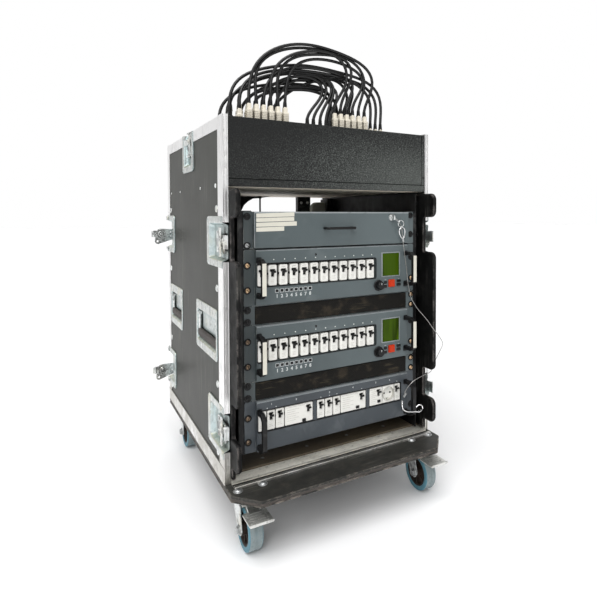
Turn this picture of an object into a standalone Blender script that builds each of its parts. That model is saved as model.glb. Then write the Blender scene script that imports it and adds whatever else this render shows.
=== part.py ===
"""Dimmer rack: a wheeled case holding a drawer, two dimmers, a power distribution unit and a patch field on top.

Frame: +Z up, front faces -Y, origin on the floor under the middle of the case. Sizes below are in millimetres and
are turned into metres where a mesh is made.
"""

import math

import bmesh
import bpy
from mathutils import Matrix, Vector

for old in list(bpy.data.objects):
    bpy.data.objects.remove(old, do_unlink=True)

MM = 0.001
GAP = 0.3  # between touching pieces

# ---------------------------------------------------------------- case
HALF_W = 290.3  # outer face of the aluminium edging
FRONT = -274.5  # front arris of the edging
REAR = 377.5  # rear arris
CASE_LOW = 143.3
CASE_TOP = 983.0
LEG = 2.0  # thickness of the edging's legs
LEG_SIDE = 38.0  # width of the edging's side legs, front and rear
LEG_TOP = 30.0
LEG_LOW = 37.0
EDGE_IN = 276.6  # inner end of the edging's returns
PANEL_OUT, PANEL_IN = 288.0, 279.3  # laminated side panel
LINING_OUT, LINING_IN = 276.3, 265.3  # inner side boards
LINING_TOP = 815.0
BOARD_Z = (128.0, 143.0)  # wheeled base board
BOARD_Y = (-382.5, 390.5)
CORNER = (50.0, 57.0)  # cut-off front corners of the board
FLOOR_Z = (143.3, 155.0)

# ---------------------------------------------------------------- recessed dishes in the sides
DISH_FLOOR = 278.4  # floor of a latch recess, distance from the middle of the case
DISH_BACK = 277.4
BRIDGE = 277.1  # strips that carry the edging past a latch dish, behind it
HANDLE_FLOOR, HANDLE_BACK = 278.0, 276.6
FLANGE = 291.5
LATCH_HEIGHTS = (695.0, 261.0)
LATCH_HALF = 59.0  # half height of a latch dish
ARM = 60.0  # hinge axis to the case edge
TOP_LATCH_Y = 70.5
HANDLE_Y = ((-219.5, -14.5), (166.5, 338.9))
HANDLE_Z = (409.0, 534.0)
BAIL_AXIS_Z = 497.0
AXIS_X = 284.2  # hinge axes of latches and bails, distance from the middle

# ---------------------------------------------------------------- 19 inch rack
RACK_Y = -269.5  # front plane of the rack ears
EAR = 241.3
EAR_T = 2.5
BODY = 215.0  # half width of the raised front
RAISE = 10.0
UNIT = 44.45
UPPER, LOWER, POWER = 610.0, 432.2, 254.4  # centres of the three 3U units
HALF_3U = 66.1
VENT_Z = (521.1, 343.3)
DRAWER_Z = (677.0, 765.4)
HANDLE_X = (204.5, 215.5)
HANDLE_REACH = 42.0
CHASSIS_END = 170.0
BREAKER_0, BREAKER_PITCH = -201.1, 27.1
LEVER_AXIS_Y = RACK_Y - 4.5
POWER_LEVERS = (-200.5, -179.5, -157.5, -91.0, -49.5, -26.7, -4.5, 66.0, 118.6, 179.8)

# ---------------------------------------------------------------- top box
DECK_Z = (952.0, 955.0)
PATCH_Y = -229.5
PLUG_TOP = 1021.5
LEFT_PLUGS = (-236.6, -213.6, -195.4, -177.2, -159.0, -140.8, -122.0)
RIGHT_PLUGS = (14.8, 33.0, 51.2, 69.4, 87.6, 105.8)

# ---------------------------------------------------------------- castors
CASTOR_X = 242.0
CASTOR_Y = (-269.5, 341.5)
TRAIL = 35.0
WHEEL_R = 50.0
WHEEL_T = 32.0


# ================================================================ materials
def material(name, colour, rough, metal=0.0):
    made = bpy.data.materials.new(name)
    made.use_nodes = True
    shader = made.node_tree.nodes["Principled BSDF"]
    shader.inputs["Base Color"].default_value = (*colour, 1.0)
    shader.inputs["Roughness"].default_value = rough
    shader.inputs["Metallic"].default_value = metal
    return made


LAMINATE = material("laminate_grey", (0.16, 0.16, 0.15), 0.45)
ALUMINIUM = material("aluminium_edging", (0.80, 0.79, 0.79), 0.35, 1.0)
ZINC = material("zinc_hardware", (0.72, 0.70, 0.62), 0.35, 1.0)
BLACK_TEXTURE = material("black_coated_board", (0.022, 0.024, 0.024), 0.55)
PHENOLIC = material("phenolic_board", (0.035, 0.033, 0.03), 0.5)
BIRCH = material("birch_ply", (0.42, 0.33, 0.22), 0.6)
FLOOR_PLY = material("brown_ply", (0.06, 0.045, 0.032), 0.6)
STEEL_BLACK = material("black_steel", (0.02, 0.02, 0.021), 0.45, 0.3)
RACK_PAINT = material("blue_grey_paint", (0.12, 0.145, 0.155), 0.42, 0.2)
VENT_PAINT = material("brown_black_mesh", (0.035, 0.03, 0.024), 0.6)
CHASSIS_STEEL = material("galvanised_steel", (0.45, 0.46, 0.47), 0.4, 0.9)
LEVER_BLACK = material("black_plastic", (0.015, 0.015, 0.015), 0.4)
KEY_RED = material("red_plastic", (0.75, 0.07, 0.02), 0.3)
CREAM = material("cream_plastic", (0.78, 0.74, 0.62), 0.45)
CABLE_BLACK = material("cable_black", (0.02, 0.022, 0.021), 0.5)
WIRE = material("steel_wire", (0.72, 0.72, 0.72), 0.3, 1.0)
RUBBER_GREY = material("grey_blue_tread", (0.14, 0.2, 0.22), 0.6)
GRIP_RUBBER = material("black_grip", (0.05, 0.045, 0.04), 0.6)


# ================================================================ shape tools
def as_object(name, bm):
    bmesh.ops.recalc_face_normals(bm, faces=bm.faces)
    if bm.calc_volume(signed=True) < 0:
        bmesh.ops.reverse_faces(bm, faces=bm.faces)
    mesh = bpy.data.meshes.new(name)
    bm.to_mesh(mesh)
    bm.free()
    made = bpy.data.objects.new(name, mesh)
    bpy.context.scene.collection.objects.link(made)
    return made


def box(x, y, z, name="tool"):
    """A box between the two values of x, of y and of z."""
    bm = bmesh.new()
    bmesh.ops.create_cube(bm, size=1.0)
    for v in bm.verts:
        v.co = Vector(
            tuple(
                (min(r) + (c + 0.5) * (max(r) - min(r))) * MM
                for c, r in zip(v.co, (x, y, z))
            )
        )
    return as_object(name, bm)


def extrusion(points, axis, lo, hi, name="tool"):
    """A flat outline pushed along an axis. axis 0: points are (y, z); axis 1: (x, z); axis 2: (x, y)."""
    bm = bmesh.new()

    def place(p, h):
        if axis == 0:
            return Vector((h, p[0], p[1])) * MM
        if axis == 1:
            return Vector((p[0], h, p[1])) * MM
        return Vector((p[0], p[1], h)) * MM

    face = bm.faces.new([bm.verts.new(place(p, lo)) for p in points])
    pushed = bmesh.ops.extrude_face_region(bm, geom=[face])
    move = place((0, 0), hi - lo)
    bmesh.ops.translate(
        bm, vec=move, verts=[v for v in pushed["geom"] if isinstance(v, bmesh.types.BMVert)]
    )
    return as_object(name, bm)


def cylinder(centre, axis, radius, lo, hi, sides=24, turn=0.0, name="tool"):
    """A round bar along an axis; centre is the pair of the other two coordinates, in x, y, z order."""
    points = [
        (
            centre[0] + radius * math.cos(turn + 2 * math.pi * k / sides),
            centre[1] + radius * math.sin(turn + 2 * math.pi * k / sides),
        )
        for k in range(sides)
    ]
    return extrusion(points, axis, lo, hi, name)


def rounded(points, radii, steps=4):
    """The outline with its corners rounded: one radius for each point, 0 for a sharp one."""
    out = []
    n = len(points)
    for i, (p, r) in enumerate(zip(points, radii)):
        if r <= 0:
            out.append(p)
            continue
        a = Vector(points[i - 1]) - Vector(p)
        b = Vector(points[(i + 1) % n]) - Vector(p)
        a.normalize(), b.normalize()
        half = a.angle(b) / 2
        cut = r / math.tan(half)
        centre = Vector(p) + (a + b).normalized() * (r / math.sin(half))
        start = Vector(p) + a * cut - centre
        end = Vector(p) + b * cut - centre
        a0 = math.atan2(start.y, start.x)
        sweep = math.atan2(end.y, end.x) - a0
        sweep = (sweep + math.pi) % (2 * math.pi) - math.pi
        for k in range(steps + 1):
            t = a0 + sweep * k / steps
            out.append((centre.x + r * math.cos(t), centre.y + r * math.sin(t)))
    return out


def rect(a, b, radius=0.0, steps=4):
    """Corners of a rectangle from its ranges, rounded if radius is given."""
    points = [(a[0], b[0]), (a[1], b[0]), (a[1], b[1]), (a[0], b[1])]
    return rounded(points, [radius] * 4, steps) if radius else points


def combine(base, tools, operation):
    """Boolean of base with each tool in turn, applied."""
    for tool in tools:
        m = base.modifiers.new("b", "BOOLEAN")
        m.operation = operation
        m.solver = "EXACT"
        m.object = tool
    graph = bpy.context.evaluated_depsgraph_get()
    made = bpy.data.meshes.new_from_object(base.evaluated_get(graph))
    base.modifiers.clear()
    base.data = made
    for tool in tools:
        bpy.data.objects.remove(tool, do_unlink=True)
    return base


def node(name, base, add=(), cut=(), finish=None, smooth=False, add_after=()):
    """Joins and cuts, then names the piece and gives it its material."""
    if add:
        combine(base, list(add), "UNION")
    if cut:
        combine(base, list(cut), "DIFFERENCE")
    if add_after:
        combine(base, list(add_after), "UNION")
    base.name = name
    base.data.name = name
    base.data.materials.clear()
    base.data.materials.append(finish)
    if smooth:
        base.data.shade_smooth()
        base.data.set_sharp_from_angle(angle=math.radians(35))
    return base


def mirrored(source, name):
    """The same piece on the other side of the case."""
    bm = bmesh.new()
    bm.from_mesh(source.data)
    bm.transform(source.matrix_world)
    bmesh.ops.scale(bm, vec=(-1, 1, 1), verts=bm.verts)
    bmesh.ops.reverse_faces(bm, faces=bm.faces)
    mesh = bpy.data.meshes.new(name)
    bm.to_mesh(mesh)
    bm.free()
    made = bpy.data.objects.new(name, mesh)
    bpy.context.scene.collection.objects.link(made)
    mesh.materials.clear()
    mesh.materials.append(source.data.materials[0])
    return made


def pivot(obj, point):
    """Moves the object's origin to a point, in millimetres, without moving its shape."""
    p = Vector(point) * MM
    obj.data.transform(Matrix.Translation(-p) @ obj.matrix_world)
    obj.matrix_world = Matrix.Translation(p)
    return obj


# ================================================================ case sides
def latch_dishes():
    """(flange, block, recess, lugs, axis point, towards the edge, along the edge) of each dish on the left side."""
    found = []
    for centre in LATCH_HEIGHTS:
        z = (centre - LATCH_HALF, centre + LATCH_HALF)
        found.append(
            {
                "flange": ((FRONT, -139.5), z),
                "block": ((FRONT + 0.2, -157.0), (z[0] + 15, z[1] - 15)),
                "recess": ((FRONT - 20, -159.5), (z[0] + 17, z[1] - 17)),
                "hinge": Vector((-AXIS_X, FRONT + ARM, centre)),
                "edge": Vector((0, -1, 0)),
                "along": Vector((0, 0, 1)),
            }
        )
        found.append(
            {
                "flange": ((270.5, REAR), z),
                "block": ((284.0, REAR - 0.2), (z[0] + 15, z[1] - 15)),
                "recess": ((286.0, REAR + 20), (z[0] + 17, z[1] - 17)),
                "hinge": Vector((-AXIS_X, REAR - ARM, centre)),
                "edge": Vector((0, 1, 0)),
                "along": Vector((0, 0, 1)),
            }
        )
    y = (TOP_LATCH_Y - 65, TOP_LATCH_Y + 65)
    found.append(
        {
            "flange": (y, (875.0, CASE_TOP)),
            "block": ((y[0] + 15, y[1] - 15), (890.0, CASE_TOP - 0.2)),
            "recess": ((y[0] + 17, y[1] - 17), (892.0, CASE_TOP + 20)),
            "hinge": Vector((-AXIS_X, TOP_LATCH_Y, CASE_TOP - ARM)),
            "edge": Vector((0, 0, 1)),
            "along": Vector((0, 1, 0)),
        }
    )
    return found


DISHES = latch_dishes()


def slab(x, yz):
    return box(x, yz[0], yz[1])


def grown(yz, edge, by):
    """The y and z ranges made larger all round, and far past the case's edge on the side they open to."""
    y, z = [yz[0][0] - by, yz[0][1] + by], [yz[1][0] - by, yz[1][1] + by]
    if edge.y < 0:
        y[0] -= 10
    elif edge.y > 0:
        y[1] += 10
    else:
        z[1] += 10
    return y, z


def edge_frame():
    ring = box((-HALF_W, -HALF_W + LEG), (FRONT, REAR), (CASE_LOW, CASE_TOP))
    window = box(
        (-HALF_W - 5, -HALF_W + LEG + 5),
        (FRONT + LEG_SIDE, REAR - LEG_SIDE),
        (CASE_LOW + LEG_LOW, CASE_TOP - LEG_TOP),
    )
    combine(ring, [window], "DIFFERENCE")
    x = (-HALF_W + 0.5, -EDGE_IN)
    add = [
        box(x, (FRONT, FRONT + LEG), (CASE_LOW, CASE_TOP)),
        box(x, (REAR - LEG, REAR), (CASE_LOW, CASE_TOP)),
        box(x, (FRONT + 0.5, REAR - 0.5), (CASE_TOP - LEG, CASE_TOP)),
        box(x, (FRONT + 0.5, REAR - 0.5), (CASE_LOW, CASE_LOW + LEG)),
    ]
    cut = []
    bridges = []
    for d in DISHES:
        cut.append(slab((-FLANGE - 10, -PANEL_OUT + 1.0 + GAP), grown(d["flange"], d["edge"], GAP)))
        cut.append(slab((-FLANGE - 10, -DISH_BACK + GAP / 2), grown(d["block"], d["edge"], GAP)))
        z = (d["hinge"].z - 50.0, d["hinge"].z + 50.0)
        if d["edge"].y < 0:
            bridges.append(box((-BRIDGE, -EDGE_IN), (FRONT, FRONT + LEG_SIDE), z))
        elif d["edge"].y > 0:
            bridges.append(box((-BRIDGE, -EDGE_IN), (REAR - LEG_SIDE, REAR), z))
        else:
            y = (TOP_LATCH_Y - 56.0, TOP_LATCH_Y + 56.0)
            bridges.append(box((-BRIDGE, -EDGE_IN), y, (CASE_TOP - LEG_TOP, CASE_TOP)))
    return node("edge_frame_left", ring, add, cut, ALUMINIUM, add_after=bridges)


def side_panel():
    panel = box((-PANEL_OUT, -PANEL_IN), (FRONT + 2.3, REAR - 2.3), (CASE_LOW + 2.3, CASE_TOP - 2.3))
    add, hollow, lugs = [], [], []
    for d in DISHES:
        add.append(slab((-FLANGE, -PANEL_OUT + 1.0), d["flange"]))
        add.append(slab((-HALF_W + 0.1, -DISH_BACK), d["block"]))
        hollow.append(slab((-FLANGE - 10, -DISH_FLOOR), d["recess"]))
        for side in (-1, 1):
            mid = d["hinge"] + d["along"] * (22.0 * side)
            half = d["edge"] * 5.5 + d["along"] * 3.0
            y = (mid.y - abs(half.y), mid.y + abs(half.y))
            z = (mid.z - abs(half.z), mid.z + abs(half.z))
            lugs.append(box((-AXIS_X - 3.8, -DISH_FLOOR + 0.5), y, z))
        if d["edge"].y > 0:
            for low, high in ((-56.5, -43.0), (43.0, 56.5)):
                mid = d["hinge"].z
                lugs.append(
                    box((-FLANGE - 5.5, -FLANGE + 0.8), (REAR - 16, REAR - 1), (mid + low, mid + high))
                )
    for y in HANDLE_Y:
        add.append(
            extrusion(rect(y, HANDLE_Z, 10, 3), 0, -PANEL_OUT - 1.6, -PANEL_OUT + 1.0)
        )
        add.append(box((-PANEL_OUT + 0.5, -HANDLE_BACK), (y[0] + 8, y[1] - 8), (HANDLE_Z[0] + 20, HANDLE_Z[1] - 24)))
        hollow.append(
            box((-PANEL_OUT - 8, -HANDLE_FLOOR), (y[0] + 10, y[1] - 10), (HANDLE_Z[0] + 22, HANDLE_Z[1] - 26))
        )
    return node("side_panel_left", panel, add, hollow, LAMINATE, add_after=lugs)


def lining():
    tab, edge, back = FRONT - 57.0, FRONT - 10.0, 370.0
    outline = [
        (back, 155.5), (edge, 155.5),
        (edge, 183.0), (tab, 183.0), (tab, 250.0), (edge, 250.0),
        (edge, 328.0), (tab, 328.0), (tab, 654.0), (edge, 654.0),
        (edge, 750.0), (tab, 750.0), (tab, LINING_TOP), (back, LINING_TOP),
    ]
    radii = [0, 0, 4, 18, 18, 4, 4, 18, 18, 4, 4, 18, 18, 0]
    return node(
        "lining_left",
        extrusion(rounded(outline, radii), 0, -LINING_OUT, -LINING_IN),
        finish=BLACK_TEXTURE,
    )


left_frame = edge_frame()
mirrored(left_frame, "edge_frame_right")
left_panel = side_panel()
mirrored(left_panel, "side_panel_right")
left_lining = lining()
mirrored(left_lining, "lining_right")

# ================================================================ base
cx, cy = CORNER
node(
    "base_board",
    extrusion(
        [
            (-HALF_W + cx, BOARD_Y[0]), (HALF_W - cx, BOARD_Y[0]), (HALF_W, BOARD_Y[0] + cy),
            (HALF_W, BOARD_Y[1] - 12), (HALF_W - 12, BOARD_Y[1]), (-HALF_W + 12, BOARD_Y[1]),
            (-HALF_W, BOARD_Y[1] - 12), (-HALF_W, BOARD_Y[0] + cy),
        ],
        2,
        *BOARD_Z,
    ),
    add=[
        box((sx * CASTOR_X - 42.5, sx * CASTOR_X + 42.5), (y - 50, y + 50), (124.0, 129.0))
        for sx in (-1, 1)
        for y in CASTOR_Y
    ],
    finish=PHENOLIC,
)
node("case_floor", box((-276.0, 276.0), (-248.9, 370.0), FLOOR_Z), finish=FLOOR_PLY)
node(
    "sill_front",
    box((-276.0, 276.0), (-307.5, -249.3), (143.3, 146.5)),
    add=[
        box((-275.5, 275.5), (-284.5, -250.0), (146.0, 151.0)),
        box((-275.5, 275.5), (-307.0, -298.0), (146.0, 149.5)),
    ],
    finish=ALUMINIUM,
)

# ================================================================ top box
node(
    "top_box_tray",
    box((-276.0, 276.0), (-265.2, 371.0), (821.0, 830.0)),
    add=[box((-276.0, 276.0), (362.0, 371.0), (825.0, 974.0))],
    finish=BIRCH,
)
node(
    "top_fascia",
    box((-276.2, 276.2), (-274.5, -265.5), (821.0, 980.0)),
    add=[box((-276.2, 276.2), (-266.0, -246.0), (975.0, 980.0))],
    finish=BLACK_TEXTURE,
)
node(
    "patch_deck",
    box((-275.8, 275.8), (-265.2, 361.7), DECK_Z),
    add=[
        box((-275.8, 275.8), (-265.2, -263.2), (930.0, 953.0)),
        box((-275.8, 275.8), (359.7, 361.7), (930.0, 953.0)),
    ],
    finish=STEEL_BLACK,
)
plugs = []
for k, x in enumerate(LEFT_PLUGS + RIGHT_PLUGS):
    top = PLUG_TOP - 15.0 if k == 0 else PLUG_TOP
    plugs.append(box((x - 7.6, x + 7.6), (PATCH_Y - 11, PATCH_Y + 11), (961.0, top - 12)))
    plugs.append(box((x - 5.6, x + 5.6), (PATCH_Y - 7, PATCH_Y + 7), (top - 13, top)))
node(
    "patch_plugs",
    box((-250.0, 172.0), (PATCH_Y - 16, PATCH_Y + 16), (DECK_Z[1] + GAP, 962.0)),
    add=plugs,
    finish=CREAM,
)

# ================================================================ rack frame
sheet = box((-254.0, -252.0), (RACK_Y + EAR_T + GAP, 237.0), (155.5, 815.0))
left_rack = node(
    "rack_frame_left",
    sheet,
    add=[
        box((-252.5, -221.5), (RACK_Y + EAR_T + GAP, RACK_Y + EAR_T + GAP + 2.0), (155.5, 815.0)),
        box((-252.5, -221.5), (235.0, 237.0), (155.5, 815.0)),
    ],
    finish=STEEL_BLACK,
)
mirrored(left_rack, "rack_frame_right")

for name, centre in zip(("vent_panel_upper", "vent_panel_lower"), VENT_Z):
    node(
        name,
        box((-EAR, EAR), (RACK_Y, RACK_Y + EAR_T), (centre - 22.0, centre + 22.0)),
        add=[box((-BODY, BODY), (RACK_Y - 3.0, RACK_Y + 1.0), (centre - 20.5, centre + 20.5))],
        finish=VENT_PAINT,
    )


def rack_panel(name, centre, low, window, extra=()):
    """Front of a 3U unit: ears, raised front with a window, and two bow handles."""
    high = centre + HALF_3U
    add = [box((-BODY, BODY), (RACK_Y - RAISE, RACK_Y + 1.0), (low + 1.5, high - 1.5))]
    for s in (-1, 1):
        x = (s * HANDLE_X[0], s * HANDLE_X[1])
        y = (RACK_Y - RAISE - HANDLE_REACH, RACK_Y - RAISE + 1.0)
        for z in ((36.0, 46.0), (-46.0, -36.0)):
            add.append(box(x, y, (centre + z[0], centre + z[1])))
        grip = rounded(
            [(y[0], centre - 46.0), (y[0] + 11.0, centre - 46.0), (y[0] + 11.0, centre + 46.0), (y[0], centre + 46.0)],
            [6.0, 0, 0, 6.0],
            3,
        )
        add.append(extrusion(grip, 0, min(x), max(x)))
    cut = [box(window[0], (RACK_Y - 40, RACK_Y + 10), window[1])] + list(extra)
    plate = box((-EAR, EAR), (RACK_Y, RACK_Y + EAR_T), (low, high))
    return node(name, plate, add, cut, RACK_PAINT)


def chassis(name, centre, low, block, groove, extra=()):
    """Sheet steel case behind the front, with the row of breakers standing in the window."""
    z = (low + 3.0, centre + 64.0)
    shell = box((-217.0, 217.0), (RACK_Y + EAR_T + GAP, CHASSIS_END), z)
    inner = box((-215.0, 215.0), (RACK_Y + EAR_T + GAP + 9.0, CHASSIS_END - 2.0), (z[0] + 2.0, z[1] - 2.0))
    slots = [
        box((x - 1.7, x + 1.7), (CHASSIS_END - 5, CHASSIS_END + 5), (centre - 30, centre + 30))
        for x in (-180, -150, 150, 180)
    ]
    add = [box(block[0], (RACK_Y - 8.5, RACK_Y + EAR_T + GAP + 1.0), block[1])] + list(extra)
    combine(shell, [inner], "DIFFERENCE")
    cut = slots + [box((block[0][0] + 1.5, block[0][1] - 1.5), (RACK_Y - 20, RACK_Y), groove)]
    return node(name, shell, add, cut, CHASSIS_STEEL)


def lever_gang(name, xs, ends, z):
    """Levers on one tie bar; they stand 25 degrees above level at rest, switched on."""
    bar = cylinder((LEVER_AXIS_Y, z), 0, 3.0, ends[0], ends[1], 10)
    levers = []
    up = math.radians(25)
    for x in xs:
        points = [(1.5, -2.2), (1.5, 2.2), (-12.0, 2.2), (-17.0, 1.4), (-17.0, -1.4), (-12.0, -2.2)]
        turned = [
            (LEVER_AXIS_Y + a * math.cos(up) + b * math.sin(up), z - a * math.sin(up) + b * math.cos(up))
            for a, b in points
        ]
        levers.append(extrusion(turned, 0, x - 3.2, x + 3.2))
    made = node(name, bar, levers, finish=LEVER_BLACK)
    return pivot(made, (0, LEVER_AXIS_Y, z))


dimmer_levers = [BREAKER_0 + k * BREAKER_PITCH for k in range(12)]
for label, centre in (("upper", UPPER), ("lower", LOWER)):
    low = centre - HALF_3U
    knob = (120.0, centre - 41.0)
    rack_panel(
        f"dimmer_{label}_panel",
        centre,
        low,
        ((-213.0, 113.0), (centre - 22.0, centre + 33.0)),
        extra=[
            box((151.5, 171.7), (RACK_Y - 40, RACK_Y - 5.5), (centre - 48.5, centre - 27.7)),
            box((129.0, 189.0), (RACK_Y - 40, RACK_Y - RAISE + 1.5), (centre - 19.5, centre + 47.0)),
        ],
    )
    chassis(
        f"dimmer_{label}_chassis",
        centre,
        low,
        ((-212.5, 112.5), (centre - 20.0, centre + 29.0)),
        (centre + 2.8, centre + 13.2),
    )
    lever_gang(f"breaker_levers_{label}", dimmer_levers, (-210.5, 110.5), centre + 8.0)
    pivot(
        node(
            f"encoder_{label}",
            cylinder(knob, 1, 14.5, RACK_Y - RAISE - 17.0, RACK_Y - RAISE - GAP, 24),
            add=[box((knob[0] - 1.2, knob[0] + 1.2), (RACK_Y - RAISE - 18.2, RACK_Y - RAISE - 16), (knob[1] + 4, knob[1] + 13))],
            finish=LEVER_BLACK,
        ),
        (knob[0], RACK_Y - RAISE, knob[1]),
    )
    node(
        f"red_key_{label}",
        box((152.0, 171.2), (RACK_Y - RAISE - 4.0, RACK_Y - RAISE + 2.0), (centre - 48.0, centre - 28.2)),
        add=[box((154.5, 168.7), (RACK_Y - RAISE - 5.5, RACK_Y - RAISE - 3.5), (centre - 45.5, centre - 30.7))],
        finish=KEY_RED,
    )

power_low = POWER - 54.0
rack_panel("power_panel", POWER, power_low, ((-213.0, 193.0), (POWER - 8.0, POWER + 43.0)))
chassis(
    "power_chassis",
    POWER,
    power_low,
    ((-212.5, 192.5), (POWER - 6.0, POWER + 40.0)),
    (POWER + 18.8, POWER + 29.2),
)
lever_gang("breaker_levers_power", POWER_LEVERS, (-210.5, 190.5), POWER + 24.0)

# ================================================================ drawer
z0, z1 = DRAWER_Z
sleeve = box((-219.3, 219.3), (RACK_Y + 0.5, 150.0), (z0 + 1.2, z1 - 1.2))
node(
    "drawer_housing",
    sleeve,
    add=[
        box((-EAR, -218.0), (RACK_Y, RACK_Y + EAR_T), (z0 + 0.6, z1 - 0.6)),
        box((218.0, EAR), (RACK_Y, RACK_Y + EAR_T), (z0 + 0.6, z1 - 0.6)),
    ],
    cut=[box((-217.8, 217.8), (RACK_Y - 10, 148.5), (z0 + 2.7, z1 - 2.7))],
    finish=RACK_PAINT,
)
front = box((-218.5, 218.5), (RACK_Y - 10.5, RACK_Y - GAP), (z0 + 1.0, z1 - 1.0))
tray = box((-214.0, 214.0), (RACK_Y - 1.0, 140.0), (z0 + 4.0, z1 - 14.0))
combine(front, [tray], "UNION")
pull = [
    box((-42.0, 42.0), (RACK_Y - 36.0, RACK_Y - 27.0), (719.0, 727.5)),
    box((-42.0, -33.5), (RACK_Y - 30.0, RACK_Y - 9.5), (719.0, 727.5)),
    box((33.5, 42.0), (RACK_Y - 30.0, RACK_Y - 9.5), (719.0, 727.5)),
]
node(
    "drawer",
    front,
    add=pull,
    cut=[box((-212.4, 212.4), (RACK_Y + 2.0, 138.4), (z0 + 5.6, z1 + 10))],
    finish=RACK_PAINT,
)
ring_z = 749.4
lock = cylinder((161.0, ring_z), 1, 9.0, RACK_Y - 16.0, RACK_Y - 10.8, 16)
pivot(
    node(
        "drawer_lock",
        lock,
        add=[box((157.5, 164.5), (RACK_Y - 27.0, RACK_Y - 15.5), (ring_z - 9.0, ring_z + 9.0))],
        cut=[cylinder((RACK_Y - 21.5, ring_z - 3.0), 0, 2.6, 150.0, 172.0, 8)],
        finish=ZINC,
    ),
    (161.0, RACK_Y - 12.0, ring_z),
)

# ================================================================ latches
def latch(name, dish, lift, mirror=False):
    """Arm, turning wing and claw of one latch, lifted out of its dish by an angle in degrees."""
    out = Vector((-1, 0, 0))
    edge, along = dish["edge"], dish["along"]
    # local axes: a towards the case edge, b along the edge, c out of the dish
    def local(a, b, c):
        return box(a, b, c)

    wing = extrusion(
        [(27, -33), (47, -33), (44, -8), (44, 8), (47, 33), (27, 33), (30, 8), (30, -8)], 2, 3.6, 8.0
    )
    arm = local((-4.5, 62.0), (-15.0, 15.0), (-2.4, 2.4))
    combine(
        arm,
        [
            local((-4.0, 4.0), (-18.4, 18.4), (-3.4, 3.4)),
            cylinder((37.0, 0.0), 2, 10.0, 1.0, 5.0, 12),
            wing,
            local((58.0, 67.0), (-11.0, 11.0), (-4.6, 2.0)),
        ],
        "UNION",
    )
    turn = math.radians(lift)
    a = edge * math.cos(turn) + out * math.sin(turn)
    c = out * math.cos(turn) - edge * math.sin(turn)
    b = along
    h = dish["hinge"]
    bm = bmesh.new()
    bm.from_mesh(arm.data)
    for v in bm.verts:
        q = v.co.copy()
        p = a * q.x + b * q.y + c * q.z
        if mirror:
            p.x = -p.x
        v.co = p
    if (a.cross(b).dot(c) < 0) != mirror:
        bmesh.ops.reverse_faces(bm, faces=bm.faces)
    bm.to_mesh(arm.data)
    bm.free()
    place = Vector((-h.x if mirror else h.x, h.y, h.z))
    arm.location = place * MM
    return node(name, arm, finish=ZINC)


for dish, tag, left_lift, right_lift in zip(
    DISHES,
    ("front_upper", "rear_upper", "front_lower", "rear_lower", "top"),
    (0.0, 97.0, 0.0, 97.0, 0.0),
    (22.0, 97.0, 22.0, 97.0, 0.0),
):
    latch(f"latch_{tag}_left", dish, left_lift)
    latch(f"latch_{tag}_right", dish, right_lift, mirror=True)

# ================================================================ side handles
for y, tag in zip(HANDLE_Y, ("front", "rear")):
    inner = (y[0] + 12.0, y[1] - 12.0)
    grip = extrusion(
        rounded([(-289.0, 437.0), (-279.0, 437.0), (-279.0, 457.0), (-289.0, 457.0)], [4, 3, 3, 4], 3),
        1,
        inner[0] + 0.2,
        inner[1] - 0.2,
    )
    arms = [
        box((-288.0, -280.6), (inner[0], inner[0] + 9.0), (448.0, 500.0)),
        box((-288.0, -280.6), (inner[1] - 9.0, inner[1]), (448.0, 500.0)),
    ]
    bail = pivot(
        node(f"side_handle_{tag}_left", grip, arms, finish=GRIP_RUBBER),
        (-AXIS_X, (y[0] + y[1]) / 2, BAIL_AXIS_Z),
    )
    bpy.context.view_layer.update()
    other = mirrored(bail, f"side_handle_{tag}_right")
    pivot(other, (AXIS_X, (y[0] + y[1]) / 2, BAIL_AXIS_Z))

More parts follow.
